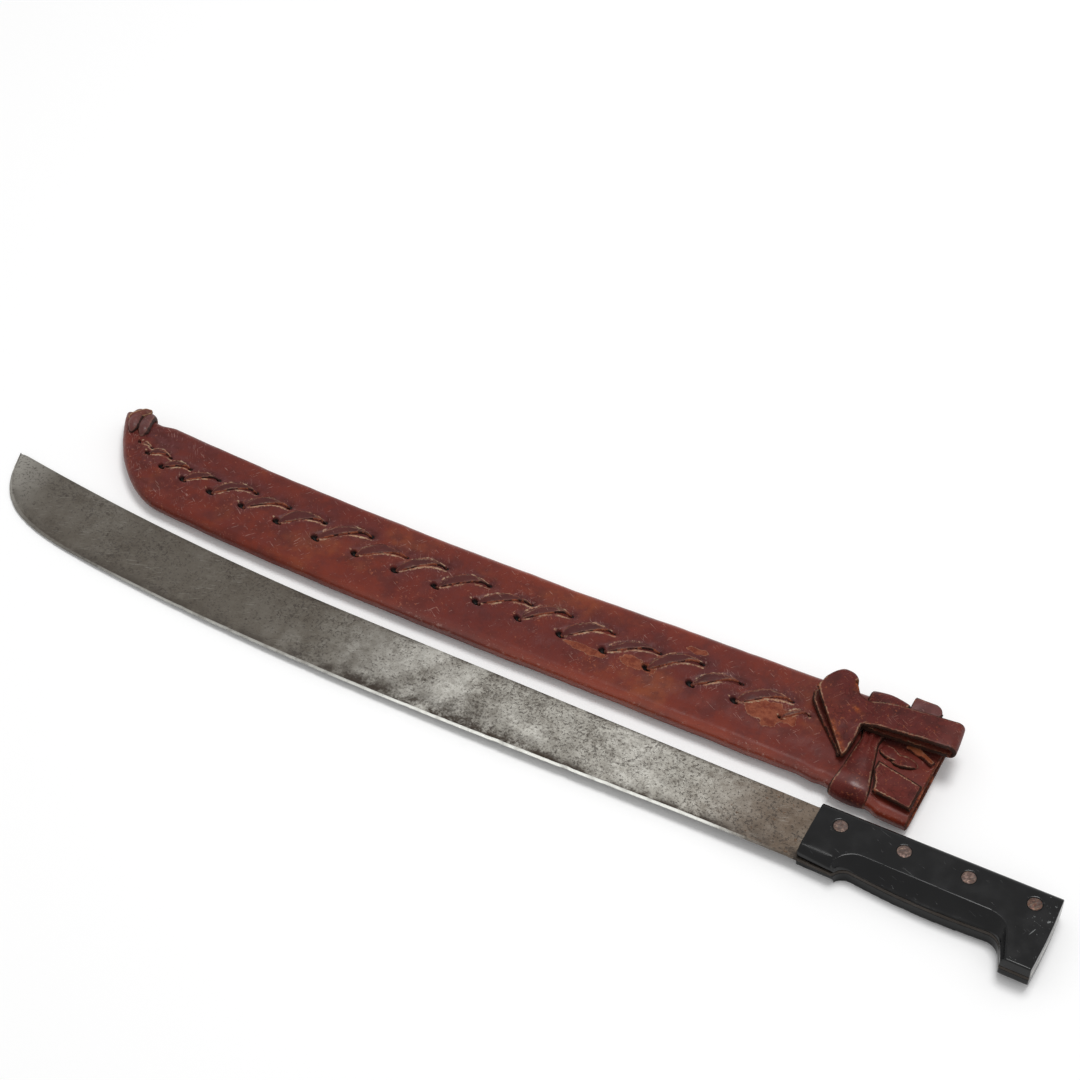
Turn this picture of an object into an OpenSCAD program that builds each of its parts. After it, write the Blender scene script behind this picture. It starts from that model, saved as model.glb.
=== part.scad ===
// Farm machete with a full tang and riveted scales, and its laced leather
// sheath laid beside it. Millimetres, +Z up, the table is z = 0.
// The blade runs along X with its tip at -X and its cutting edge towards -Y.

/* [Blade] */
// Length of the blade from its tip to the front of the handle
blade_l = 533; // [420:1:640]
// Width of the blade where it meets the handle
heel_w = 35.4; // [34.5:0.1:40]
// Width of the blade at its belly
belly_w = 43.3; // [41:0.1:54]
// How far the back of the blade sweeps up to the tip
tip_rise = 17; // [4:0.5:22]
// Length of the swept part of the back
sweep_l = 245; // [150:1:300]
// Thickness of the steel at the handle and through the tang
steel_t = 2.2; // [1.6:0.1:3.2]
// Thickness of the steel at the tip
tip_t = 1.6; // [1:0.1:2.2]
// Width of the ground bevel along the edge
bevel_w = 3.4; // [1.5:0.1:6]
// Thickness left at the cutting edge
edge_t = 0.3; // [0.1:0.05:0.6]

/* [Handle] */
// Length of the handle from its front to the butt
handle_l = 133.8; // [126:0.1:150]
// Thickness of each scale
scale_t = 7.2; // [6.4:0.1:10]
// Depth of the handle at its front, below the back line
guard_drop = 34.4; // [33:0.1:36]
// Length of the guard ahead of the finger notch
guard_l = 21.5; // [18:0.1:24]
// Depth of the grip behind the finger notch
grip_drop = 30.5; // [29:0.1:32]
// How much fuller the grip is at its middle
grip_swell = 2; // [0:0.1:3]
// Depth of the hooked butt
hook_drop = 47.4; // [43:0.1:56]
// Width of the hook at its end
hook_w = 16.1; // [12:0.1:19]
// Rise of the back line from the front to the butt
back_rise = 1.8; // [0:0.1:3]
// How far the butt bulges at its middle
butt_bulge = 0.8; // [0.2:0.1:2]
// Radius of the scoop along the grip of the upper scale
scoop_r = 15.4; // [14:0.1:18]
// Width of the flat face kept beside the scoop
face_w = 23.5; // [20:0.1:26]
// Radius of the rounded back edges
back_round = 4; // [1:0.1:5]
// Radius of the rounded lower edge of the hook
hook_round = 4; // [1:0.1:6]
// How far the scales stop short of the shoulder of the blade
front_set = 1.2; // [0:0.1:2]

/* [Rivets] */
// Radius of the rivet heads
rivet_head_r = 4; // [3:0.1:5]
// Thickness of the rivet heads
rivet_head_t = 1.2; // [0.8:0.1:2]
// Outer radius of the rivet sleeves
sleeve_r = 2.2; // [2:0.05:2.6]
// Radius of the rivet pins
pin_r = 1.5; // [1:0.05:1.7]
// Distance of the first rivet from the front of the handle
rivet_front = 15.4; // [10:0.1:18]
// Distance of the last rivet from the butt
rivet_back = 12.2; // [8:0.1:15]
// Distance of the rivets from the back line
rivet_drop = 11.2; // [8:0.1:14]
// Number of rivets
rivets = 4; // [4]

/* [Sheath] */
// Thickness of the leather
leather_t = 2.5; // [1.8:0.1:3.4]
// Height of the pocket beyond the thickness of the blade
pocket_room = 3.8; // [3.2:0.1:6]
// Length of the sheath beyond the length of the blade
length_room = 1.5; // [0:0.5:12]
// Width of the mouth beyond the blade and two thicknesses of leather
mouth_room = 25.5; // [18:0.5:31]
// Width near the tip beyond the blade and two thicknesses of leather
tip_room = 15.1; // [11:0.1:18]
// How far the mouth lies past the front of the handle
mouth_ahead = 43.5; // [30:0.5:60]
// How far the near edge of the sheath swings out at the mouth
mouth_flare = 6.4; // [5:0.1:8]
// Gap between the back line of the machete and the mouth of the sheath
set_apart = 9.6; // [8.5:0.1:30]
// Height of the step where the near flap laps over the far flap
flap_step = 1.2; // [0.8:0.1:2]
// Width of the overlap of the two flaps
flap_lap = 18; // [14:0.5:22]
// Width of the slope that leads up to the overlap
flap_slope = 12; // [8:0.5:15]

/* [Lacing] */
// Thickness of the thong
lace_t = 1.6; // [1.2:0.1:2]
// Width of the thong at the middle of a stitch
lace_w = 8; // [6:0.1:10]
// Width of the thong where it passes a slit
lace_neck = 3.6; // [2.4:0.1:4.4]
// Thickness of the thong where it is pinched in a slit
neck_t = 1.3; // [0.8:0.1:1.6]
// Distance from one stitch to the next
stitch_pitch = 26.4; // [24:0.1:29]
// Stitches at the full pitch
stitches = 13; // [13]
// Stitches that close up towards the tip
tip_stitches = 6; // [6]
// How far a stitch reaches past its slits
lace_over = 1.5; // [1:0.1:2]
// Distance of the first stitch from the mouth
stitch_start = 85.9; // [80:0.1:100]

/* [Straps] */
// Thickness of the straps
strap_t = 2.4; // [1.8:0.1:3.2]
// Width of the belt loop strap
loop_w = 19; // [15:0.5:22]
// Length of the belt loop
loop_l = 54; // [44:0.5:58]
// Height inside the belt loop
loop_gap = 4.9; // [4.7:0.1:9]
// Turn of the belt loop in plan
loop_turn = 6; // [0:0.5:8]
// Width of the keeper band where it rounds the folds of the sheath
keeper_w = 22.5; // [18:0.5:26]
// Width of the keeper band where it is drawn together on top
keeper_neck = 11; // [8:0.5:14]
// How much the keeper band stands proud of the far fold
keeper_slack = 2.2; // [0:0.1:3]
// How much the keeper band draws in the near fold
cinch = 1.3; // [0:0.1:3]
// How much the binding of the tip draws in the far fold
tip_cinch = 2.4; // [0:0.1:3]
// Distance of the keeper band from the mouth
keeper_in = 34.5; // [30:0.5:38]

/* [Clearances] */
// Gap between leather pieces that lie on each other
lay_gap = 0.1; // [0.05:0.05:0.3]
// Gap between pieces that move past each other
move_gap = 0.3; // [0.2:0.05:0.6]
// Gap round rivets and their seats
rivet_gap = 0.05; // [0.02:0.01:0.1]
// Gap round the thong in its slits
slit_gap = 0.4; // [0.2:0.05:0.6]

/* [Hidden] */

steel = [0.47, 0.46, 0.44];
horn = [0.13, 0.13, 0.14];
copper = [0.60, 0.44, 0.38];
iron = [0.55, 0.50, 0.47];
hide = [0.43, 0.20, 0.16];
thong = [0.30, 0.15, 0.14];
raw = [0.62, 0.36, 0.18];

// Curves
function bez(p, t) = pow(1 - t, 3) * p[0] + 3 * pow(1 - t, 2) * t * p[1]
    + 3 * (1 - t) * t * t * p[2] + t * t * t * p[3];
function arc(c, r, a0, a1, n) =
    [for (i = [0:n]) c + r * [cos(a0 + (a1 - a0) * i / n), sin(a0 + (a1 - a0) * i / n)]];
function mix(a, b, t) = a + (b - a) * t;

// The machete lies on the tip and on the front of its lower scale
half_steel = steel_t / 2;
half_handle = half_steel + scale_t;
tilt = atan((half_handle - tip_t / 2) / blade_l);
lift = half_handle * cos(tilt);

// Outline of the blade: the back is straight and then sweeps up, and the
// cutting edge is two curves that meet near the belly.
back_y = function(x) x > sweep_l - blade_l ? 0
    : tip_rise * pow((sweep_l - blade_l - x) / sweep_l, 2);
edge_join = [-0.75 * blade_l, -0.93 * belly_w];
edge_rear = [[0, -heel_w], [-0.225 * blade_l, -0.3 * belly_w - 0.7 * heel_w],
             [-0.484 * blade_l, -1.66 * belly_w + 0.66 * heel_w], edge_join];
edge_front = [edge_join, [-0.92 * blade_l, -0.8 * belly_w],
              [-0.978 * blade_l, -0.74 * belly_w], [-blade_l, tip_rise - 1.5]];
rear_n = 16;
front_n = 24;
ring_n = rear_n + front_n;
function edge_at(i) = i <= rear_n ? bez(edge_rear, i / rear_n) : bez(edge_front, (i - rear_n) / front_n);
// The back has a point for each point of the edge, and both end at the tip
function back_x(i) = i <= rear_n ? edge_at(i)[0]
    : mix(edge_join[0], -blade_l, pow((i - rear_n) / front_n, 1.15));
function back_at(i) = [back_x(i), back_y(back_x(i))];
function half_t(i) = mix(half_steel, tip_t / 2, i / ring_n);
// The bevel starts behind the handle and narrows into the tip
function bevel_share(i) = min(1, i / 3) * min(1, (ring_n - i + 1) / 8);
function bevel_at(i) =
    let (e = edge_at(i), b = back_at(i), way = (b - e) / norm(b - e))
    e + way * max(0.3, bevel_w * bevel_share(i));
function edge_half(i) = mix(half_t(i), edge_t / 2, min(1, (i + 0.5) / 3.5));

module blade_body() {
    rings = [for (i = [0:ring_n])
        let (b = back_at(i), v = bevel_at(i), e = edge_at(i), h = half_t(i), g = edge_half(i))
        [[b[0], b[1], h], [v[0], v[1], h], [e[0], e[1], g],
         [e[0], e[1], -g], [v[0], v[1], -h], [b[0], b[1], -h]]];
    tube(rings);
}

// A closed skin through rings of points, with flat ends
module tube(rings) {
    k = len(rings[0]);
    n = len(rings);
    points = [for (r = rings) each r];
    ends = [[for (j = [0:k - 1]) k - 1 - j], [for (j = [0:k - 1]) (n - 1) * k + j]];
    polyhedron(points, concat(sides(k, n, 0, false), ends), convexity = 8);
}

// The faces between n rings of k points, the first point being at base
function sides(k, n, base, inward) = [for (i = [0:n - 2], j = [0:k - 1])
    let (a = base + i * k + j, b = base + i * k + (j + 1) % k)
    each (inward ? [[a, b + k, b], [a, a + k, b + k]] : [[a, b, b + k], [a, b + k, a + k]])];

// The faces from a ring of k points to the point in its middle
function fan(k, base, middle, inward) = [for (j = [0:k - 1])
    let (a = base + j, b = base + (j + 1) % k)
    inward ? [b, a, middle] : [a, b, middle]];
function middle_of(points) = [for (i = [0:2])
    (max([for (p = points) p[i]]) + min([for (p = points) p[i]])) / 2];

// Handle
bend_r = 9;
notch_r = 7.5;
hook_x = handle_l - hook_w;
bend_c = [hook_x - 12, -grip_drop - 1 - bend_r];
notch_c = [guard_l + 8, -grip_drop - notch_r];
hook_slope = 17.7;
hook_top = bend_c + bend_r * [cos(hook_slope), sin(hook_slope)];
grip_start = [notch_c[0], notch_c[1] + notch_r];
grip_end = [bend_c[0], bend_c[1] + bend_r];
guard_end = [notch_c[0] - notch_r * cos(20), notch_c[1] + notch_r * sin(20)];

function grip_outline(front) = concat(
    [[front, back_rise * front / handle_l], [front, -guard_drop]],
    arc(notch_c, notch_r, 160, 90, 6),
    [for (i = [1:9]) mix(grip_start, grip_end, i / 10) - [0, grip_swell * sin(18 * i)]],
    arc(bend_c, bend_r, 90, hook_slope, 8),
    [[hook_x, -hook_drop], [handle_l, -hook_drop]],
    [for (i = [1:7]) [handle_l + butt_bulge * sin(180 * i / 8), mix(-hook_drop, back_rise, i / 8)]],
    [[handle_l, back_rise]]);

// Rivet places
rivet_step = (handle_l - rivet_front - rivet_back) / (rivets - 1);
function rivet_at(i) = [rivet_front + i * rivet_step,
    back_rise * (rivet_front + i * rivet_step) / handle_l - rivet_drop];

module rivet_holes(low, high) {
    for (i = [0:rivets - 1])
        translate([rivet_at(i)[0], rivet_at(i)[1], low])
            cylinder(h = high - low, r = sleeve_r + rivet_gap, $fn = 48);
}

module head_seats(low, high) {
    for (i = [0:rivets - 1])
        translate([rivet_at(i)[0], rivet_at(i)[1], low])
            cylinder(h = high - low, r = rivet_head_r + rivet_gap, $fn = 48);
}

// The steel of the tang shows ahead of the guard below the scales
module tang() {
    linear_extrude(steel_t, center = true) {
        polygon(grip_outline(0));
        polygon([[0, 0], [0, -heel_w], guard_end - [1, 0.6], guard_end + [0.5, 3]]);
    }
}

module blade() {
    color(steel) difference() {
        union() {
            blade_body();
            tang();
        }
        rivet_holes(-steel_t, steel_t);
    }
}

// The scoop of the upper scale is the path of a ball cutter: it plunges at
// the finger notch, runs along the grip and turns down the hook.
scoop_z = half_steel + 0.1 + scoop_r;
scoop_reach = sqrt(pow(scoop_r, 2) - pow(scoop_z - half_handle, 2));
plunge_c = [guard_l + scoop_reach - 1, -face_w - scoop_reach, scoop_z];
turn_c = [hook_x - 14.7, -face_w - scoop_reach, scoop_z];

module scoop() {
    translate(plunge_c) {
        sphere(scoop_r, $fn = 96);
        rotate([0, 90, 0])
            cylinder(h = turn_c[0] - plunge_c[0], r = scoop_r, $fn = 96);
    }
    translate(turn_c) {
        sphere(scoop_r, $fn = 96);
        rotate([90, 0, hook_slope])
            cylinder(h = 2 * hook_drop, r = scoop_r, $fn = 96);
    }
}

// A long round along the back edge, as what is cut away there
module back_cut() {
    rotate([0, 0, atan(back_rise / handle_l)])
        translate([-1, -back_round, half_handle - back_round])
            difference() {
                cube([handle_l + 4, 2 * back_round, 2 * back_round]);
                translate([-1, 0, 0])
                    rotate([0, 90, 0])
                        cylinder(h = handle_l + 6, r = back_round, $fn = 64);
            }
}

// The guard of the upper scale rolls over towards the edge side
roll_r = scale_t - 0.2;

module guard_roll(l) {
    translate([-1, -guard_drop + roll_r - 1.6, half_handle - roll_r])
        difference() {
            translate([0, -2 * roll_r, 0])
                cube([l + 1, 2 * roll_r, 2 * roll_r]);
            translate([-1, 0, 0])
                rotate([0, 90, 0])
                    cylinder(h = l + 3, r = roll_r, $fn = 96);
        }
}

module scale_blank(low) {
    translate([0, 0, low])
        linear_extrude(scale_t)
            polygon(grip_outline(front_set));
}

module scale_top() {
    color(horn) difference() {
        scale_blank(half_steel);
        scoop();
        guard_roll(guard_l - 1);
        back_cut();
        rivet_holes(0, 2 * half_handle);
        head_seats(half_handle - rivet_head_t, 2 * half_handle);
    }
}

// The lower edge of the hook is rounded on the underside only
module hook_cut() {
    translate([hook_x - bend_r, -hook_drop + hook_round, half_handle - hook_round])
        difference() {
            translate([0, -2 * hook_round, 0])
                cube([hook_w + 2 * bend_r, 2 * hook_round, 2 * hook_round]);
            translate([-1, 0, 0])
                rotate([0, 90, 0])
                    cylinder(h = hook_w + 2 * bend_r + 2, r = hook_round, $fn = 64);
        }
}

module scale_bottom() {
    color(horn) difference() {
        scale_blank(-half_handle);
        mirror([0, 0, 1]) {
            back_cut();
            guard_roll(guard_end[0] + 0.1);
            hook_cut();
        }
        rivet_holes(-2 * half_handle, 0);
        head_seats(-2 * half_handle, rivet_head_t - half_handle);
    }
}

// Each rivet is a headed pin driven into a headed sleeve
module rivet(i) {
    color(i == rivets - 1 ? copper : iron)
        translate([rivet_at(i)[0], rivet_at(i)[1], 0]) {
            translate([0, 0, half_handle - rivet_head_t])
                cylinder(h = rivet_head_t, r = rivet_head_r, $fn = 48);
            translate([0, 0, 2 * rivet_head_t - half_handle])
                cylinder(h = 2 * half_handle - 3 * rivet_head_t, r = pin_r, $fn = 48);
        }
}

module rivet_cap(i) {
    color(iron)
        translate([rivet_at(i)[0], rivet_at(i)[1], -half_handle])
            difference() {
                union() {
                    cylinder(h = rivet_head_t, r = rivet_head_r, $fn = 48);
                    cylinder(h = 2 * half_handle - rivet_head_t - rivet_gap, r = sleeve_r, $fn = 48);
                }
                translate([0, 0, 2 * rivet_head_t - rivet_gap])
                    cylinder(h = 2 * half_handle, r = pin_r + rivet_gap, $fn = 48);
            }
}

module laid() {
    translate([0, 0, lift])
        rotate([0, -tilt, 0])
            children();
}

// Sheath: heights
wrap_z = strap_t + lay_gap;
pocket_h = steel_t + pocket_room;
fold_r = leather_t + pocket_h / 2;
mid_z = wrap_z + fold_r;
ceil_z = mid_z + pocket_h / 2;
top_z = mid_z + fold_r;
flap_z = top_z + flap_step;
lay_z = flap_z + lay_gap;

// Sheath: plan. The near edge lies beside the back of the machete.
sheath_l = blade_l + length_room;
near_l = 0.886 * sheath_l;
far_l = 0.987 * sheath_l;
skin_w = belly_w + 2 * leather_t;
mouth_w = skin_w + mouth_room;
tip_w = skin_w + tip_room;
near_c = [mouth_flare, 8.2, -4.6, 3.5];
far_c = [mouth_w, mouth_w - 8.2, skin_w + 3.1, tip_w];
keeper_x = mouth_ahead - keeper_in;
keeper_lean = 4;
cinch_x = keeper_x - keeper_lean / 2;
cinch_half = (keeper_w + keeper_lean) / 2 + 0.5;
cinch_ramp = 6;
function drawn_in(x) = cinch * max(0, min(1, (cinch_half + cinch_ramp - abs(x - cinch_x)) / cinch_ramp));
flare_l = 50;
flare_x = mouth_ahead - 65.5;
function flared(x) = mouth_flare * max(0, min(1, (x - flare_x) / flare_l));
near_y = function(x) set_apart + bez(near_c, (mouth_ahead - x) / near_l) - flared(x) + drawn_in(x);
tip_x0 = mouth_ahead - near_l;
binding_w = 5.6;
binding_step = 7.2;
binding_arm = 9;
binding_x = tip_x0 - 0.085 * sheath_l;
binding_ramp = 10;
binding_front = binding_x + binding_step + binding_w / 2 + 1;
function tied_in(x) = tip_cinch * max(0, min(1, (binding_front + binding_ramp - x) / binding_ramp));
far_y = function(x) set_apart + bez(far_c, (mouth_ahead - x) / far_l) - tied_in(x);
tip_curve = [[tip_x0, set_apart + near_c[3]],
             [mouth_ahead - 0.943 * sheath_l, set_apart + near_c[3] + 0.6],
             [mouth_ahead - 0.99 * sheath_l, set_apart + 0.7 * tip_w],
             [mouth_ahead - sheath_l, set_apart + 0.95 * tip_w]];
body_xs = concat([mouth_ahead],
    [for (k = [1, 0]) cinch_x + cinch_half + k * cinch_ramp],
    [for (k = [0, 1]) cinch_x - cinch_half - k * cinch_ramp],
    [for (i = [1:18]) mix(cinch_x - cinch_half - cinch_ramp, tip_x0, i / 18)]);
tip_n = 9;
tip_stop = 0.9;

// A station of the sheath: its near point, its far point
function body_pair(x) = [[x, near_y(x)], [x, far_y(x)]];
function tip_pair(t) =
    let (fx = mix(tip_x0, mouth_ahead - far_l, t))
    [bez(tip_curve, t), [fx, far_y(fx)]];

// One ring of points round a station, grown outwards by d
fold_n = 6;
seam_share = 0.6;
function ring(pair, d, grow = 0) =
    let (span = pair[1] - pair[0],
         w = norm(span),
         way = span / w,
         r = min(fold_r, 0.42 * w),
         flat_w = w - 2 * r,
         step = d < 0 ? 0 : flap_step * min(1, flat_w / 20),
         s1 = min(seam_share * w, w - r - 0.2 * flat_w) + max(d, 0),
         s2 = max(s1 - max(d, 0) - flap_lap, r + 0.3 * flat_w),
         s3 = max(s2 - flap_slope, r + 0.1 * flat_w),
         apart = d < 0 ? 0.6 : 0,
         far_fold = [for (j = [0:fold_n]) let (a = -90 + 180 * j / fold_n)
             [w - r + (r + d + grow) * cos(a), (r + d + (a > 0 && j < fold_n ? grow : 0)) * sin(a)]],
         near_fold = [for (j = [0:fold_n]) let (a = 90 + 180 * j / fold_n)
             [r + (r + d) * cos(a), (r + d) * sin(a)]],
         top = [[s1 + apart, r + d], [s1 - apart, r + d + step], [s2, r + d + step], [s3, r + d]],
         section = concat(far_fold, top, near_fold))
    [for (p = section) [pair[0][0] + way[0] * p[0], pair[0][1] + way[1] * p[0], mid_z + p[1]]];

outer_pairs = concat(
    [for (x = body_xs) body_pair(x)],
    [for (i = [1:tip_n]) tip_pair(tip_stop * i / tip_n)]);
pocket_tip = 6;

// The wrap: an outer skin and a pocket, joined round the mouth
module wrap_skin() {
    skin = [for (p = outer_pairs) ring(p, 0)];
    pocket = [for (i = [0:len(body_xs) - 1 + pocket_tip]) ring(outer_pairs[i], -leather_t)];
    k = len(skin[0]);
    n = len(skin);
    m = len(pocket);
    base = n * k;
    top = base + m * k;
    points = concat([for (r = skin) each r], [for (r = pocket) each r],
                    [middle_of(skin[n - 1]), middle_of(pocket[m - 1])]);
    rim = [for (j = [0:k - 1])
        let (a = j, b = (j + 1) % k)
        each [[a, base + b, b], [a, base + a, base + b]]];
    faces = concat(sides(k, n, 0, false), sides(k, m, base, true), rim,
                   fan(k, (n - 1) * k, top, false), fan(k, base + (m - 1) * k, top + 1, true));
    polyhedron(points, faces, convexity = 10);
}

// Stitches: x of each lower slit, closing up towards the tip
row_share = 0.41;
function closing(k) = 1 - 0.055 * k - 0.0085 * k * k;
function stitch_x(i) = i < stitches ? mouth_ahead - stitch_start - i * stitch_pitch
    : stitch_x(i - 1) - stitch_pitch * closing(i - stitches + 1);
function curl(x) = x > tip_x0 ? 0 : 0.0085 * pow(tip_x0 - x, 2);
function low_slit(i) =
    let (x = stitch_x(i))
    [x, near_y(x) + row_share * (far_y(x) - near_y(x)) + curl(x)];
function stitch_gap(i) = i == 0 ? 0.5 * stitch_pitch : stitch_x(i - 1) - stitch_x(i);
function high_slit(i) = low_slit(i) + stitch_gap(i) * [0.88, 0.62];
last_stitch = stitches + tip_stitches - 1;

module at_turned(a, b) {
    translate([a[0], a[1], 0])
        rotate([0, 0, atan2(b[1] - a[1], b[0] - a[0])])
            children();
}

module neck(p, low, high, grow) {
    translate([p[0] - lace_neck / 2 - grow, p[1] - neck_t / 2 - grow, low])
        cube([lace_neck + 2 * grow, neck_t + 2 * grow, high - low]);
}

module run_under(a, b, low, high, grow) {
    at_turned(a, b)
        translate([-neck_t - grow, -lace_neck / 2 - grow, low])
            cube([norm(b - a) + 2 * neck_t + 2 * grow, lace_neck + 2 * grow, high - low]);
}

groove_t = neck_t + 0.3;

module sheath_wrap() {
    color(hide) difference() {
        wrap_skin();
        for (i = [0:last_stitch]) {
            neck(low_slit(i), ceil_z - 1, flap_z + 1, slit_gap);
            neck(high_slit(i), ceil_z - 1, flap_z + 1, slit_gap);
            if (i > 0)
                run_under(high_slit(i), low_slit(i - 1), ceil_z - 1, ceil_z + groove_t, slit_gap);
        }
    }
}

// A leaf of the thong, pointed at both slits
module leaf(a, b, w, t) {
    l = norm(b - a) + 2 * lace_over;
    r = (l * l / 4 + w * w / 4) / w;
    at_turned(a, b)
        translate([l / 2 - lace_over, 0, lay_z])
            linear_extrude(t)
                intersection() {
                    translate([0, r - w / 2])
                        circle(r, $fn = 90);
                    translate([0, w / 2 - r])
                        circle(r, $fn = 90);
                }
}

module seam_lacing() {
    low = ceil_z + (groove_t - neck_t) / 2;
    color(thong) {
        for (i = [0:last_stitch]) {
            leaf(low_slit(i), high_slit(i), lace_w * min(1, 1.2 * stitch_gap(i) / stitch_pitch), lace_t);
            neck(low_slit(i), low, lay_z + lace_t / 2, 0);
            neck(high_slit(i), low, lay_z + lace_t / 2, 0);
            if (i > 0)
                run_under(high_slit(i), low_slit(i - 1), low, low + neck_t, 0);
        }
    }
}

// Two turns of thong whipped over the far corner of the tip
binding_mid = mid_z + flap_step / 2;
binding_in = fold_r + lay_gap + flap_step / 2;
binding_out = binding_in + strap_t;
binding_proud = 0.5;

module tip_binding() {
    color(thong)
        for (i = [0:1]) {
            x = binding_x + i * binding_step;
            fold_y = far_y(x) - fold_r + binding_proud;
            if (i > 0)
                translate([x - binding_step, fold_y - binding_arm, binding_mid - binding_out])
                    cube([binding_step, binding_w, strap_t]);
            translate([x - binding_w / 2, fold_y, binding_mid])
                rotate([90, 0, 90])
                    linear_extrude(binding_w) {
                        difference() {
                            circle(binding_out, $fn = 72);
                            circle(binding_in, $fn = 72);
                            translate([-2 * binding_out, -2 * binding_out])
                                square([2 * binding_out, 4 * binding_out]);
                        }
                        translate([-binding_arm, -binding_out])
                            square([binding_arm, strap_t]);
                        translate([-binding_arm, binding_in])
                            square([binding_arm, strap_t]);
                    }
        }
}

// The cut end of the thong beside the binding
cut_end = [5.4, 8];
cut_turn = 12;

module tip_knot() {
    low = top_z + flap_step / 2;
    color(raw)
        translate([binding_x - binding_w / 2 - 6.4, far_y(binding_x) - fold_r - 11, low])
            rotate([0, 0, cut_turn])
                cube([cut_end[0], cut_end[1], strap_t]);
}

// Keeper band: rings along its two edges, drawn together on top
function band_edge(side, j, k) =
    let (on_far = j <= fold_n,
         on_near = j >= k - fold_n - 1,
         half = (on_far || on_near ? keeper_w : keeper_neck) / 2,
         lean = on_far ? -keeper_lean : on_near ? 0 : -keeper_lean / 2)
    keeper_x + lean + side * half;
function band_ring(side, d, grow) =
    let (k = 2 * (fold_n + 1) + 4)
    [for (j = [0:k - 1]) ring(body_pair(band_edge(side, j, k)), d, grow)[j]];

module keeper_band() {
    loops = [band_ring(-1, lay_gap, 0), band_ring(-1, lay_gap + strap_t, keeper_slack),
             band_ring(1, lay_gap + strap_t, keeper_slack), band_ring(1, lay_gap, 0)];
    k = len(loops[0]);
    faces = [for (i = [0:3], j = [0:k - 1])
        let (a = i * k + j, b = i * k + (j + 1) % k,
             c = ((i + 1) % 4) * k + j, d = ((i + 1) % 4) * k + (j + 1) % k)
        each [[a, b, d], [a, d, c]]];
    color(hide)
        polyhedron([for (r = loops) each r], faces, convexity = 10);
}

// Knot: the strap comes out from under the keeper band, runs to the far
// side, folds over and comes back on top as a heart.
knot_x = keeper_x - keeper_w / 2;
knot_y = far_y(knot_x) - 1.6;
knot_rise = 6.1;
knot_mid = lay_z + (knot_rise + strap_t) / 2;
knot_out = (knot_rise + strap_t) / 2;
knot_l = 50;
knot_w = 15;
knot_left = -25.5;

module knot_strap() {
    lower = [[-1.2, 1 - knot_l], [-3.4, 1 - knot_l], [-23, -26], [-28.8, -18], [-28.4, -7],
             [knot_left, 0], [knot_left + knot_w, 0], [-9, -5], [-1.5, -22], [0, -30], [0, 4 - knot_l]];
    upper = [[-0.2, -knot_l], [-8.9, -40], [-19, -27.7], [-25, -19.3], [-28, -14], [-28.5, -7],
             [knot_left, 0], [knot_left + knot_w, 0], [-8.2, -5.5], [-4.5, -10.5], [8, -10.5],
             [8, -27.5], [2, -28.5], [2.7, -36], [1.8, 3 - knot_l]];
    color(hide) translate([knot_x, knot_y, 0]) {
        translate([0, 0, lay_z])
            linear_extrude(strap_t)
                polygon(lower);
        translate([0, 0, lay_z + knot_rise])
            linear_extrude(strap_t)
                difference() {
                    polygon(upper);
                    translate(loop_end - [knot_x, knot_y])
                        rotate(loop_turn)
                            translate([-loop_r - move_gap, -loop_w / 2 - 4])
                                square([loop_l, 2 * loop_w]);
                }
        translate([knot_left, 0, knot_mid])
            rotate([90, 0, 90])
                linear_extrude(knot_w)
                    difference() {
                        circle(knot_out, $fn = 60);
                        circle(knot_out - strap_t, $fn = 60);
                        translate([-2 * knot_out, -2 * knot_out])
                            square([2 * knot_out, 4 * knot_out]);
                    }
    }
}

// Patch over the near flap between the keeper band and the mouth
patch_x = keeper_x + keeper_w / 2 + move_gap;
mouth_y = near_y(mouth_ahead);

module mouth_patch() {
    under = patch_x - 4.6;
    rim = mouth_ahead - 0.4;
    color(hide)
        translate([0, 0, lay_z])
            linear_extrude(strap_t)
                polygon([[under, mouth_y + 0.29 * mouth_w], [under, mouth_y + 0.38 * mouth_w],
                         [rim, mouth_y + 0.31 * mouth_w], [rim, mouth_y + 0.07 * mouth_w],
                         [patch_x, mouth_y + 0.11 * mouth_w], [patch_x, mouth_y + 0.22 * mouth_w]]);
}

// Two broad bights of thong by the mouth, and the last end that lies free
function by_mouth(in, share) = [mouth_ahead - in, mouth_y + share * mouth_w];

module mouth_lace() {
    color(thong) {
        leaf(by_mouth(28.6, 0.508), by_mouth(19, 0.465), lace_w + 0.6, lace_t);
        leaf(by_mouth(20.5, 0.455), by_mouth(9.5, 0.47), lace_w + 0.6, lace_t);
    }
}

module mouth_lace_end() {
    a = by_mouth(17.5, 0.608);
    b = by_mouth(1.2, 0.545);
    color(raw)
        at_turned(a, b)
            translate([0, -lace_w / 4, lay_z])
                cube([norm(b - a), lace_w / 2, lace_t]);
}

// The tail of the strap lies on the far fold and shows behind the belt loop
tail_w = 11;
tail_x = keeper_x - keeper_lean + keeper_w / 2 + 4 * move_gap;
tail_y = far_y(tail_x) - fold_r + 0.6;

module strap_tail() {
    color(hide)
        translate([tail_x, tail_y, top_z + lay_gap])
            linear_extrude(strap_t) {
                square([keeper_neck, tail_w]);
                translate([keeper_neck, tail_w / 2])
                    circle(tail_w / 2, $fn = 48);
            }
}

// Belt loop: a strap folded into a flat ring, hinged at its knot end
loop_r = loop_gap / 2 + strap_t;
loop_z = lay_z + strap_t + move_gap + loop_r;
loop_end = [keeper_x - keeper_w / 2 + 4.5, far_y(0) - 21.1];

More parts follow.
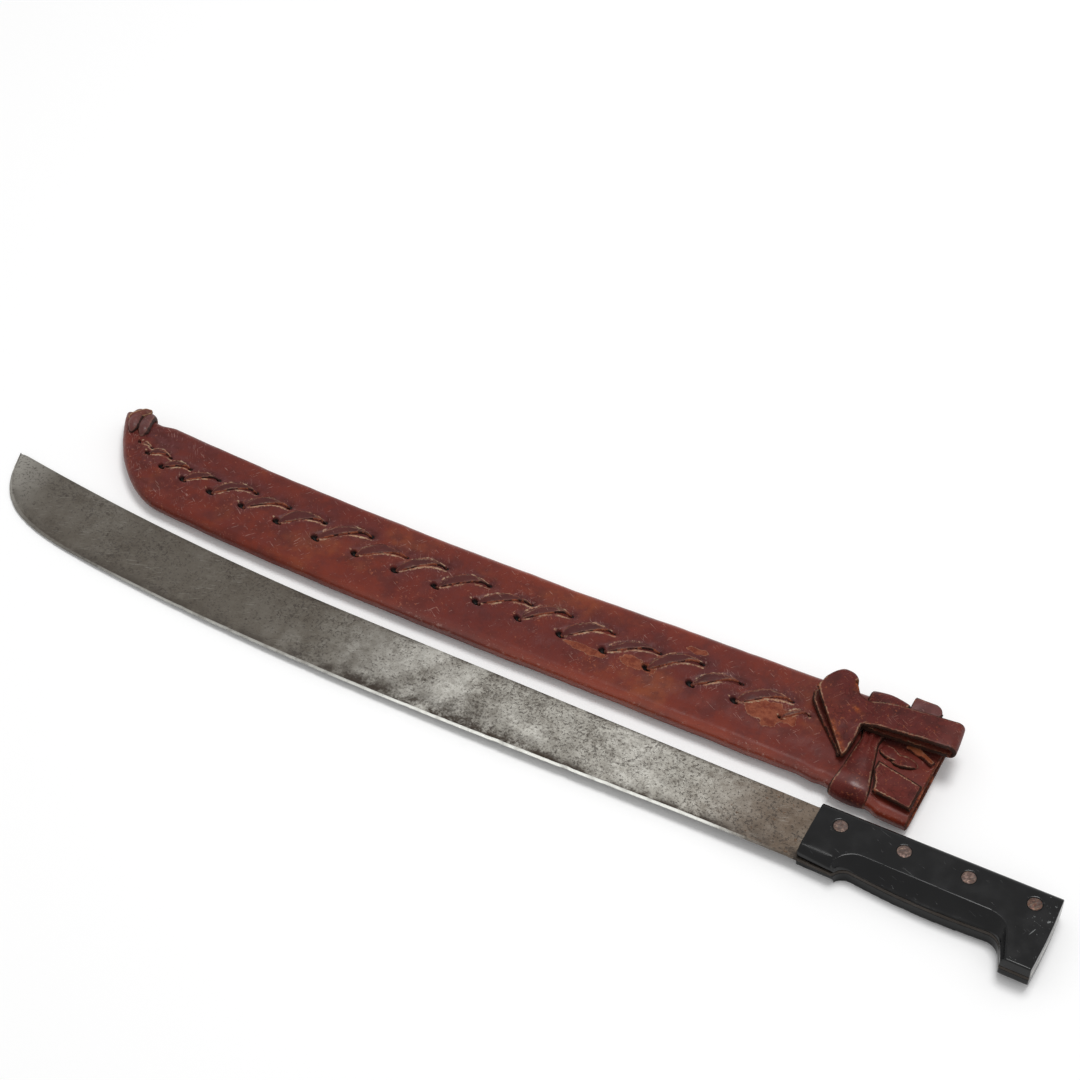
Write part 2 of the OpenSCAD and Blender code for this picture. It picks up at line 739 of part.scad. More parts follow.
module belt_loop() {
    color(hide)
        translate([loop_end[0], loop_end[1], loop_z])
            rotate([0, 0, loop_turn])
                translate([0, loop_w / 2, 0])
                    rotate([90, 0, 0])
                        linear_extrude(loop_w)
                            difference() {
                                union() {
                                    circle(loop_r, $fn = 72);
                                    translate([loop_l - 2 * loop_r, 0])
                                        circle(loop_r, $fn = 72);
                                    translate([0, -loop_r])
                                        square([loop_l - 2 * loop_r, 2 * loop_r]);
                                }
                                circle(loop_gap / 2, $fn = 72);
                                translate([loop_l - 2 * loop_r, 0])
                                    circle(loop_gap / 2, $fn = 72);
                                translate([0, -loop_gap / 2])
                                    square([loop_l - 2 * loop_r, loop_gap]);
                            }
}

// The origin is under the middle of the whole set
tip_end = -blade_l * cos(tilt) - tip_t / 2 * sin(tilt);
butt_end = (handle_l + butt_bulge) * cos(tilt) + half_handle * sin(tilt);
far_end = tail_y + tail_w;
centre = [(tip_end + butt_end) / 2, (far_end - hook_drop) / 2];

module placed() {
    translate([-centre[0], -centre[1], 0])
        children();
}

placed() laid() blade();
placed() laid() scale_top();
placed() laid() scale_bottom();
placed() laid() rivet(0);  // rivet_1
placed() laid() rivet(1);  // rivet_2
placed() laid() rivet(2);  // rivet_3
placed() laid() rivet(3);  // rivet_4
placed() laid() rivet_cap(0);  // rivet_cap_1
placed() laid() rivet_cap(1);  // rivet_cap_2
placed() laid() rivet_cap(2);  // rivet_cap_3
placed() laid() rivet_cap(3);  // rivet_cap_4
placed() sheath_wrap();
placed() seam_lacing();
placed() tip_binding();
placed() tip_knot();
placed() keeper_band();
placed() knot_strap();
placed() mouth_patch();
placed() mouth_lace();
placed() mouth_lace_end();
placed() strap_tail();
placed() belt_loop();
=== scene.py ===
"""Looks of a farm machete and its laced leather sheath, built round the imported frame.

Lengths are millimetres in the machete's own axes until Layout turns them into the frame's
metres: X runs along the back of the blade with the tip at -X, Y points from the cutting edge
to the sheath, and Z is up from the table.
"""

from __future__ import annotations

import logging
import math
from dataclasses import dataclass, field
from enum import Enum
from typing import Callable, Sequence

import bmesh
import bpy
import numpy as np
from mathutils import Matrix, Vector, noise

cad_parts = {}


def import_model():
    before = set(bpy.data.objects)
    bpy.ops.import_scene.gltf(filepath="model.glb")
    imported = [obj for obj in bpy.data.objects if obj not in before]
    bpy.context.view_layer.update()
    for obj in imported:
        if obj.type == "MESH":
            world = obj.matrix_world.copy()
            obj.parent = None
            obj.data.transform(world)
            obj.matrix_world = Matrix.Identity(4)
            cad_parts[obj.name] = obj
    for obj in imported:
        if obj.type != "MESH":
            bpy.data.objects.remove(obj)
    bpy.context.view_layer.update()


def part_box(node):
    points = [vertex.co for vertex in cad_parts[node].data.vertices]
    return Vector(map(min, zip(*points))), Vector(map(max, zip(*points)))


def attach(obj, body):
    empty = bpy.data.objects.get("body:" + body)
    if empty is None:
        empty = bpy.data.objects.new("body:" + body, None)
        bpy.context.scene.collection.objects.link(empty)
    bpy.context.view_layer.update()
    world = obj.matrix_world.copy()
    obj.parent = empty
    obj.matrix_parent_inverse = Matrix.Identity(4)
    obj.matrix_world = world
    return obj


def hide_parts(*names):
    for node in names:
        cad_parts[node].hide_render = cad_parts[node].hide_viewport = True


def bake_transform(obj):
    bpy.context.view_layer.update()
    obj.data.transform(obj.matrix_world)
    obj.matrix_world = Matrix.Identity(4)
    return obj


MM = 0.001
LOG = logging.getLogger("machete")
ALONG_X = (1.0, 0.0, 0.0)
ALONG_Y = (0.0, 1.0, 0.0)
RIM_FADE = 0.55

Array = np.ndarray
Colour = tuple[float, float, float]
Material = bpy.types.Material
Move = Callable[[Array, Array], Array]
Object = bpy.types.Object
Socket = bpy.types.NodeSocket


def seen(red: float, green: float, blue: float) -> Colour:
    """A shader colour from the 0 to 255 values that the eye sees.

    Args:
        red: red as displayed.
        green: green as displayed.
        blue: blue as displayed.

    Returns:
        The linear colour.
    """
    def linear(value: float) -> float:
        """One channel, by the usual curve of a display."""
        return value / 255 / 12.92 if value < 10.3 else ((value / 255 + 0.055) / 1.055) ** 2.4

    return linear(red), linear(green), linear(blue)


def bezier(control: Sequence, t: Array) -> Array:
    """Points of a cubic curve.

    Args:
        control: four numbers, or four points.
        t: places along the curve, 0 to 1.

    Returns:
        One value or point for each place.
    """
    c = np.asarray(control, float)
    t = np.asarray(t, float)
    if c.ndim > 1:
        t = t[..., None]
    s = 1 - t
    return s**3 * c[0] + 3 * s**2 * t * c[1] + 3 * s * t * t * c[2] + t**3 * c[3]


def ease(value: Array) -> Array:
    """A smooth step from 0 to 1 as the value goes from 0 to 1."""
    v = np.clip(value, 0.0, 1.0)
    return v * v * (3 - 2 * v)


def bell(distance: Array, reach: float) -> Array:
    """A soft bump that is 1 where the distance is 0 and fades beyond its reach."""
    return np.exp(-((distance / reach) ** 2))


def ripple(points: Array, size: float, seed: float) -> Array:
    """Smooth random heights, the same on every run.

    Args:
        points: n points in millimetres.
        size: length of one ripple in millimetres.
        seed: shifts the pattern.

    Returns:
        n values from about -1 to 1.
    """
    scaled = np.asarray(points, float) / size + (seed, -seed, 0.5 * seed)
    return np.array([noise.noise(Vector(p)) for p in scaled.tolist()])


def spaced(*stretches: tuple[float, float, int]) -> Array:
    """Even steps over each stretch, given by its start, its end and the number of steps."""
    return np.concatenate([np.linspace(*stretch, endpoint=False) for stretch in stretches])


def lifted(points: Array, up: Array) -> Array:
    """Points moved up."""
    return points + np.c_[0 * up, 0 * up, up]


def rippled(height: float, size: float, seed: float) -> Move:
    """A move that gives a strap soft dents of this height and size."""
    return lambda points, share: lifted(points, height * ripple(points, size, seed))


def rim_of(to_edge: Array, thick: float) -> Array:
    """The rim mask by the distance from a cut edge: full on its rounding, then fading."""
    return np.exp(-np.maximum(to_edge - 0.35 * thick, 0) / RIM_FADE)


def unit(vectors: Array) -> Array:
    """Vectors of length 1 along the given rows."""
    return vectors / np.maximum(np.linalg.norm(vectors, axis=-1, keepdims=True), 1e-9)


def distance_to(points: Array, line: Array) -> Array:
    """Distance in plan from each point to a line of straight stretches.

    Args:
        points: n points, of which x and y are used.
        line: the corners of the line in plan.

    Returns:
        n distances in millimetres.
    """
    best = np.full(len(points), 1e9)
    for a, b in zip(line[:-1], line[1:]):
        ab = b - a
        ap = points[:, :2] - a
        t = np.clip(ap @ ab / max(ab @ ab, 1e-9), 0, 1)
        best = np.minimum(best, np.linalg.norm(ap - t[:, None] * ab, axis=1))
    return best


@dataclass(frozen=True)
class Layout:
    """Where the machete's own axes lie in the frame, and how the machete leans on its tip.

    The machete lies on its tip and on the front of its lower scale.
    """

    shift_x: float
    shift_y: float
    tilt: float
    lift: float

    def flat(self, points: Array) -> Array:
        """Points of the sheath, from millimetres to the frame's metres."""
        return (np.asarray(points, float) + (self.shift_x, self.shift_y, 0.0)) * MM

    def laid(self, points: Array) -> Array:
        """Puts points of the machete where it lies.

        Args:
            points: points in millimetres.

        Returns:
            The points tilted, in the frame's metres.
        """
        p = np.asarray(points, float)
        c, s = math.cos(self.tilt), math.sin(self.tilt)
        x = p[..., 0] * c - p[..., 2] * s
        z = p[..., 0] * s + p[..., 2] * c + self.lift
        return self.flat(np.stack([x, p[..., 1], z], axis=-1))


class Body(Enum):
    """The moving bodies of the set."""

    MACHETE = "machete"
    SHEATH = "sheath"
    LOOP = "belt_loop"


class Mask(Enum):
    """Masks that a mesh carries for its finish, one number at each point."""

    RIM = "rim"
    UNDER = "under"
    SEAM = "seam"
    LIP = "lip"
    # Holes of the slits, painted near black as their shade.
    HOLE_SHADE = "pit"
    PEEL = "peel"
    # Rubbed places; on the leather's folds it also paints sheen.
    WEAR_AND_SHEEN = "worn"
    TORN = "torn"


@dataclass
class Shape:
    """A mesh in the making: its points in millimetres, its faces and its masks."""

    points: Array
    faces: list
    masks: dict[Mask, Array] = field(default_factory=dict)

    def joined(self, other: "Shape") -> "Shape":
        """Joins this shape with another.

        Args:
            other: the other shape.

        Returns:
            Both as one shape.
        """
        base = len(self.points)
        masks = {}
        for key in self.masks | other.masks:
            mine = self.masks.get(key, np.zeros(base))
            theirs = other.masks.get(key, np.zeros(len(other.points)))
            masks[key] = np.concatenate([mine, theirs])
        faces = self.faces + [[i + base for i in f] for f in other.faces]
        return Shape(np.vstack([self.points, other.points]), faces, masks)

    def piece(self, name: str, place: Callable[[Array], Array], smooth: bool = True) -> Object:
        """Makes the Blender object.

        Args:
            name: the piece's name.
            place: turns millimetres into the frame's metres.
            smooth: whether its faces are shaded smooth.

        Returns:
            The new object, linked to the scene.
        """
        mesh = bpy.data.meshes.new(name)
        mesh.from_pydata(place(self.points).tolist(), [], self.faces)
        mesh.validate()
        for mask, values in self.masks.items():
            layer = mesh.attributes.new(mask.value, "FLOAT", "POINT")
            layer.data.foreach_set("value", np.asarray(values, np.float32))
        mesh.shade_smooth() if smooth else mesh.shade_flat()
        made = bpy.data.objects.new(name, mesh)
        bpy.context.scene.collection.objects.link(made)
        return made


def grid_faces(rings: int, around: int, closed: bool = False, capped: bool = True) -> list:
    """Faces of a tube of rings.

    Args:
        rings: number of rings.
        around: points in each ring.
        closed: whether the last ring joins the first.
        capped: whether an open tube gets a face on each end.

    Returns:
        The faces as lists of point numbers.
    """
    i = np.arange(rings if closed else rings - 1)[:, None]
    j = np.arange(around)[None, :]
    a = i * around + j
    b = i * around + (j + 1) % around
    c = ((i + 1) % rings) * around + (j + 1) % around
    d = ((i + 1) % rings) * around + j
    faces = np.stack([a, b, c, d], axis=-1).reshape(-1, 4).tolist()
    if capped and not closed:
        faces.append(list(range(around))[::-1])
        faces.append([(rings - 1) * around + k for k in range(around)])
    return faces


@dataclass
class Ribbon:
    """A strap swept through stations, with rounded edges and a slight crown.

    centres and widths have one row for each station. across, one row for each station or one
    for all, points to the strap's right edge, and the strap's outer side is where the turn
    from its run to across points.
    """

    centres: Array
    across: Array | tuple
    widths: Array
    thick: float
    crown: float = 0.0
    closed: bool = False
    flat_n: int = 11
    edge_n: int = 5

    def profile(self) -> tuple[Array, Array, Array]:
        """The cross-section.

        Returns:
            Share of the half width, inset from the edge and height, both in thicknesses.
        """
        flat = np.linspace(-1, 1, self.flat_n)
        turn = np.linspace(90, -90, self.edge_n + 2)[1:-1] * math.pi / 180
        share = np.concatenate([flat, np.ones(self.edge_n), flat[::-1], -np.ones(self.edge_n)])
        inset = np.concatenate([np.full(self.flat_n, 0.45), 0.45 - 0.45 * np.cos(turn)] * 2)
        height = np.concatenate([np.full(self.flat_n, 0.5), 0.5 * np.sin(turn)])
        return share, inset, np.concatenate([height, -height])

    def shape(self, move: Move | None = None) -> Shape:
        """Builds the strap.

        Args:
            move: gets the points and their share across, from -1 to 1, and gives back the
                points as they should lie.

        Returns:
            The strap with its rim and underside masks.
        """
        share, inset, height = self.profile()
        centres = np.asarray(self.centres, float)
        across = unit(np.asarray(self.across, float)) * np.ones_like(centres)
        if self.closed:
            run = unit(np.roll(centres, -1, axis=0) - np.roll(centres, 1, axis=0))
        else:
            run = unit(np.gradient(centres, axis=0))
        out = unit(np.cross(run, across))
        half = np.asarray(self.widths, float)[:, None] / 2
        side = share[None, :] * np.maximum(half - inset[None, :] * self.thick, 0.05)
        rise = height[None, :] * self.thick - self.crown * (side / np.maximum(half, 0.1)) ** 2
        points = centres[:, None] + side[..., None] * across[:, None] + rise[..., None] * out[:, None]
        n, k = side.shape
        if not self.closed:
            points = self.rounded_ends(points, centres, run)
            n += 2
            side = np.vstack([side[:1], side, side[-1:]])
            half = np.vstack([half[:1], half, half[-1:]])
        across_share = (side / np.maximum(half, 0.1)).ravel()
        rim = rim_of((half - np.abs(side)).ravel(), self.thick)
        flat_points = points.reshape(-1, 3)
        if move:
            flat_points = move(flat_points, across_share)
        ends = np.zeros((n, k))
        if not self.closed:
            ends[[0, 1, -2, -1]] = 1
        under = np.tile(height < -0.45, n).astype(float)
        masks = {Mask.RIM: np.maximum(rim, ends.ravel()), Mask.UNDER: under}
        faces = grid_faces(n, k, self.closed)
        return Shape(flat_points, [f[::-1] for f in faces], masks)

    def rounded_ends(self, points: Array, centres: Array, run: Array) -> Array:
        """Adds a smaller ring beyond each end, so that the cut ends aren't knife sharp.

        Args:
            points: the rings of the strap.
            centres: the middle of each ring.
            run: the way that the strap runs there.

        Returns:
            The rings with one more at each end.
        """
        first = centres[0] + (points[0] - centres[0]) * 0.8 - run[0] * 0.22 * self.thick
        last = centres[-1] + (points[-1] - centres[-1]) * 0.8 + run[-1] * 0.22 * self.thick
        return np.concatenate([first[None], points, last[None]])


def softened(piece: Object, voxel: float, passes: int) -> None:
    """Wears a closed piece's sharp edges round.

    Args:
        piece: a closed piece in the frame's metres.
        voxel: size of the new mesh in millimetres.
        passes: how many times the surface is smoothed.
    """
    made = bmesh.new()
    made.from_mesh(piece.data)
    bmesh.ops.remove_doubles(made, verts=made.verts, dist=1e-6)
    made.to_mesh(piece.data)
    made.free()
    skin = piece.modifiers.new("skin", "REMESH")
    skin.mode = "VOXEL"
    skin.voxel_size = voxel * MM
    wear = piece.modifiers.new("wear", "SMOOTH")
    wear.factor = 0.5
    wear.iterations = passes
    graph = bpy.context.evaluated_depsgraph_get()
    mesh = bpy.data.meshes.new_from_object(piece.evaluated_get(graph))
    piece.modifiers.clear()
    old, piece.data = piece.data, mesh
    bpy.data.meshes.remove(old)
    mesh.name = piece.name
    mesh.shade_smooth()


@dataclass
class Slab:
    """A flat cut of leather: its outline, thickness and height, with worn edges."""

    outline: Sequence
    thick: float
    low: float
    voxel: float = 0.5
    passes: int = 3

    def shape(self, move: Callable[[Array], Array] | None = None) -> Shape:
        """Builds the cut.

        Args:
            move: gets the flat points and gives back the points as they should lie.

        Returns:
            The cut with its rim and underside masks.
        """
        line = np.asarray(self.outline, float)
        n = len(line)
        points = np.vstack([np.c_[line, np.full(n, z)] for z in (self.low, self.low + self.thick)])
        faces = [list(range(n))[::-1], list(range(n, 2 * n))]
        faces += [[i, (i + 1) % n, n + (i + 1) % n, n + i] for i in range(n)]
        rough = Shape(points, faces).piece("cutting", lambda p: p * MM)
        softened(rough, self.voxel, self.passes)
        flat = np.array([v.co for v in rough.data.vertices], float) / MM
        skin = [list(p.vertices) for p in rough.data.polygons]
        mesh = rough.data
        bpy.data.objects.remove(rough)
        bpy.data.meshes.remove(mesh)
        rim = rim_of(distance_to(flat, np.vstack([line, line[:1]])), self.thick)
        under = (flat[:, 2] < self.low + 0.3 * self.thick).astype(float)
        return Shape(move(flat) if move else flat, skin, {Mask.RIM: rim, Mask.UNDER: under})


class Nodes:
    """A shader node tree with short calls for the nodes that the finishes use."""

    def __init__(self, tree: bpy.types.NodeTree) -> None:
        """Keeps the node tree of a material, of a group or of the world."""
        self.tree = tree

    def add(self, kind: str, inputs: dict | None = None, **settings: object) -> bpy.types.Node:
        """Adds a node.

        Args:
            kind: the node's type name.
            inputs: values or sockets for its inputs, by name or number.
            **settings: its own settings.

        Returns:
            The new node.
        """
        node = self.tree.nodes.new(kind)
        for key, value in settings.items():
            setattr(node, key, value)
        for key, value in (inputs or {}).items():
            self.feed(node.inputs[key], value)
        return node

    def feed(self, socket: Socket, value: object) -> None:
        """Links a socket to another one, or sets its value.

        Args:
            socket: the input.
            value: an output socket, a number, or a colour as the eye sees it.
        """
        if isinstance(value, bpy.types.NodeSocket):
            self.tree.links.new(value, socket)
        elif isinstance(value, tuple) and socket.type == "RGBA":
            socket.default_value = (*seen(*value), 1.0)
        else:
            socket.default_value = value

    def tint(self, factor: object, low: object, high: object) -> Socket:
        """Mixes two colours.

        Args:
            factor: share of the second colour.
            low: the first colour.
            high: the second colour.

        Returns:
            The mixed colour.
        """
        node = self.add("ShaderNodeMix", data_type="RGBA")
        for socket, value in ((node.inputs[0], factor), (node.inputs[6], low), (node.inputs[7], high)):
            self.feed(socket, value)
        return node.outputs[2]

    def layered(self, colour: object, layers: Sequence) -> Socket:
        """Lays colours over a colour.

        Args:
            colour: the colour beneath.
            layers: a mask and a colour for each layer, from the lowest up.

        Returns:
            The colour that shows.
        """
        for mask, over in layers:
            colour = self.tint(mask, colour, over)
        return colour

    def maths(self, operation: str, first: object, second: object) -> Socket:
        """The result of an operation on two numbers."""
        return self.add("ShaderNodeMath", {0: first, 1: second}, operation=operation).outputs[0]

    def plus(self, first: object, second: object) -> Socket:
        """The sum of two numbers."""
        return self.maths("ADD", first, second)

    def minus(self, first: object, second: object) -> Socket:
        """The difference of two numbers."""
        return self.maths("SUBTRACT", first, second)

    def times(self, first: object, second: object) -> Socket:
        """The product of two numbers."""
        return self.maths("MULTIPLY", first, second)

    def over(self, first: object, second: object) -> Socket:
        """The first number divided by the second."""
        return self.maths("DIVIDE", first, second)

    def most(self, first: object, second: object) -> Socket:
        """The larger of two numbers."""
        return self.maths("MAXIMUM", first, second)

    def ramp(self, value: object, low: float, high: float, start: float = 0.0, end: float = 1.0) -> Socket:
        """A number that goes smoothly from start to end as the value goes from low to high."""
        inputs = {"Value": value, "From Min": low, "From Max": high, "To Min": start, "To Max": end}
        return self.add("ShaderNodeMapRange", inputs, interpolation_type="SMOOTHSTEP").outputs[0]

    def clouds(
        self, where: Socket, scale: object, detail: float, rough: float = 0.5, output: int = 0
    ) -> Socket:
        """Soft random clouds from 0 to 1, or as a vector from output 1."""
        inputs = {"Vector": where, "Scale": scale, "Detail": detail, "Roughness": rough}
        return self.add("ShaderNodeTexNoise", inputs).outputs[output]

    def bent(self, where: object, scale: float, detail: float, reach: float) -> Socket:
        """Bends places a little, so that what is drawn at them runs less straight.

        Args:
            where: the places.
            scale: scale of the clouds that bend them.
            detail: detail of those clouds.
            reach: how far the places stray.

        Returns:
            The bent places.
        """
        stray = self.clouds(where, scale, detail, output=1)
        bend = self.add("ShaderNodeVectorMath", {0: stray, 3: reach}, operation="SCALE").outputs[0]
        return self.add("ShaderNodeVectorMath", {0: where, 1: bend}, operation="ADD").outputs[0]


class Effect(Enum):
    """Shared effects, each one node group."""

    STREAKS = "streaks"
    CRACKS = "cracks"
    SPECKS = "specks"
    GRAIN = "grain"
    BLOTCHES = "blotches"


class Effects:
    """The shared effects, each built once as a node group."""

    def __init__(self) -> None:
        """Builds every group."""
        self.groups: dict[Effect, bpy.types.NodeTree] = {}
        self.streaks()
        self.cracks()
        self.specks()
        self.grain()
        self.blotches()

    def fresh(
        self, effect: Effect, numbers: dict[str, float], output: str = "Mask"
    ) -> tuple[Nodes, dict[str, Socket], Socket]:
        """Starts a group.

        Args:
            effect: which effect it is.
            numbers: its number inputs with their usual values.
            output: the name of its one output.

        Returns:
            The nodes, the inputs by name, and the output's socket.
        """
        tree = bpy.data.node_groups.new(effect.value, "ShaderNodeTree")
        self.groups[effect] = tree
        tree.interface.new_socket("Vector", in_out="INPUT", socket_type="NodeSocketVector")
        for name, value in numbers.items():
            socket = tree.interface.new_socket(name, in_out="INPUT", socket_type="NodeSocketFloat")
            socket.default_value = value
        tree.interface.new_socket(output, in_out="OUTPUT", socket_type="NodeSocketFloat")
        nodes = Nodes(tree)
        inputs = nodes.add("NodeGroupInput").outputs
        end = nodes.add("NodeGroupOutput").inputs[output]
        return nodes, {s.name: s for s in inputs}, end

    def streaks(self) -> None:
        """Thin scratches that run mostly one way, as a mask."""
        usual = {"Scale": 60.0, "Turn": 0.0, "Long": 12.0, "Amount": 0.5}
        nodes, given, end = self.fresh(Effect.STREAKS, usual)
        where = given["Vector"]
        turn = nodes.add("ShaderNodeCombineXYZ", {2: given["Turn"]}).outputs[0]
        stretch = nodes.add("ShaderNodeCombineXYZ", {0: given["Long"], 1: 1.0, 2: 1.0}).outputs[0]
        laid = {"Vector": nodes.bent(where, 30.0, 1.0, 0.004), "Rotation": turn, "Scale": stretch}
        turned = nodes.add("ShaderNodeMapping", laid, vector_type="TEXTURE").outputs[0]
        lines = nodes.clouds(turned, given["Scale"], 2.0)
        level = nodes.minus(0.8, nodes.times(given["Amount"], 0.2))
        here = nodes.times(nodes.clouds(where, 55.0, 2.0), 0.18)
        nodes.feed(end, nodes.ramp(nodes.minus(nodes.plus(lines, here), level), 0.0, 0.03))

    def cracks(self) -> None:
        """A net of fine cracks that comes and goes, as a mask."""
        nodes, given, end = self.fresh(Effect.CRACKS, {"Scale": 220.0, "Width": 0.05, "Amount": 0.5})
        where = given["Vector"]
        net = {"Vector": nodes.bent(where, 260.0, 3.0, 0.005), "Scale": given["Scale"]}
        cells = nodes.add("ShaderNodeTexVoronoi", net, feature="DISTANCE_TO_EDGE").outputs["Distance"]
        line = nodes.minus(1.0, nodes.over(cells, given["Width"]))
        level = nodes.minus(0.75, nodes.times(given["Amount"], 0.4))
        near = nodes.ramp(nodes.minus(nodes.clouds(where, 70.0, 4.0), level), 0.0, 0.1)
        nodes.feed(end, nodes.times(nodes.ramp(line, 0.0, 0.7), near))

    def specks(self) -> None:
        """Small ragged spots, as a mask."""
        nodes, given, end = self.fresh(Effect.SPECKS, {"Scale": 400.0, "Amount": 0.5, "Soft": 0.04})
        where = given["Vector"]
        fine = nodes.clouds(where, given["Scale"], 4.0, 0.65)
        level = nodes.minus(0.9, nodes.times(given["Amount"], 0.3))
        here = nodes.times(nodes.clouds(where, 40.0, 3.0), 0.25)
        risen = nodes.over(nodes.minus(nodes.plus(fine, here), level), given["Soft"])
        nodes.feed(end, nodes.ramp(risen, 0.0, 1.0))

    def grain(self) -> None:
        """The pores and creases of a surface, as heights."""
        nodes, given, end = self.fresh(Effect.GRAIN, {"Scale": 900.0, "Pores": 0.5}, "Height")
        where, scale = given["Vector"], given["Scale"]
        cells = nodes.add("ShaderNodeTexVoronoi", {"Vector": where, "Scale": scale}).outputs[0]
        mixed = nodes.add("ShaderNodeMix", {0: given["Pores"]}, data_type="FLOAT")
        nodes.feed(mixed.inputs[2], nodes.clouds(where, scale, 4.0))
        nodes.feed(mixed.inputs[3], cells)
        nodes.feed(end, mixed.outputs[0])

    def blotches(self) -> None:
        """Large cloudy areas with a set sharpness, as a mask."""
        nodes, given, end = self.fresh(Effect.BLOTCHES, {"Scale": 30.0, "Level": 0.5, "Soft": 0.1})
        cloud = nodes.clouds(given["Vector"], given["Scale"], 5.0, 0.6)
        nodes.feed(end, nodes.ramp(nodes.over(nodes.minus(cloud, given["Level"]), given["Soft"]), -1.0, 1.0))


class Surface(Nodes):
    """The nodes of one material, at its own place on the object."""

    def __init__(self, name: str, effects: Effects) -> None:
        """Starts the material.

        Args:
            name: the material's name.
            effects: the shared effects.
        """
        self.material = bpy.data.materials.new(name)
        self.material.use_nodes = True
        super().__init__(self.material.node_tree)
        self.groups = effects.groups
        self.shader = self.tree.nodes["Principled BSDF"]
        self.where = self.add("ShaderNodeTexCoord").outputs["Object"]

    def mask(self, mask: Mask) -> Socket:
        """The mask that the mesh carries under this name."""
        return self.add("ShaderNodeAttribute", attribute_name=mask.value).outputs["Fac"]

    def along(self) -> Socket:
        """The place along the machete, in the frame's metres."""
        return self.add("ShaderNodeSeparateXYZ", {0: self.where}).outputs[0]

    def cloud(self, scale: float, detail: float, rough: float = 0.5) -> Socket:
        """Soft random clouds on the object, from 0 to 1."""
        return self.clouds(self.where, scale, detail, rough)

    def effect(self, effect: Effect, **numbers: float) -> Socket:
        """Places a shared effect.

        Args:
            effect: which effect.
            **numbers: its inputs, by name in lower case.

        Returns:
            The effect's output.
        """
        node = self.add("ShaderNodeGroup", {"Vector": self.where}, node_tree=self.groups[effect])
        for name, value in numbers.items():
            self.feed(node.inputs[name.capitalize()], value)
        return node.outputs[0]

    def blotches(self, scale: float, level: float, soft: float) -> Socket:
        """Large cloudy areas."""
        return self.effect(Effect.BLOTCHES, scale=scale, level=level, soft=soft)

    def specks(self, scale: float, amount: float) -> Socket:
        """Small ragged spots."""
        return self.effect(Effect.SPECKS, scale=scale, amount=amount, soft=0.05)

    def fixed(self, **numbers: float) -> None:
        """Sets numbers of the shader that are the same all over, by name with _ for a space."""
        for name, value in numbers.items():
            self.shader.inputs[name.replace("_", " ")].default_value = value

    def finished(self, colour: Socket, rough: Socket, height: Socket, relief: float) -> Material:
        """Joins what varies over the surface to the shader.

        Args:
            colour: its colour.
            rough: its roughness.
            height: its small heights, in millimetres.
            relief: how strongly the heights show.

        Returns:
            The finished material.
        """
        bump = self.add("ShaderNodeBump", {"Strength": relief, "Distance": MM, "Height": height}).outputs[0]
        for name, value in (("Base Color", colour), ("Roughness", rough), ("Normal", bump)):
            self.feed(self.shader.inputs[name], value)
        return self.material


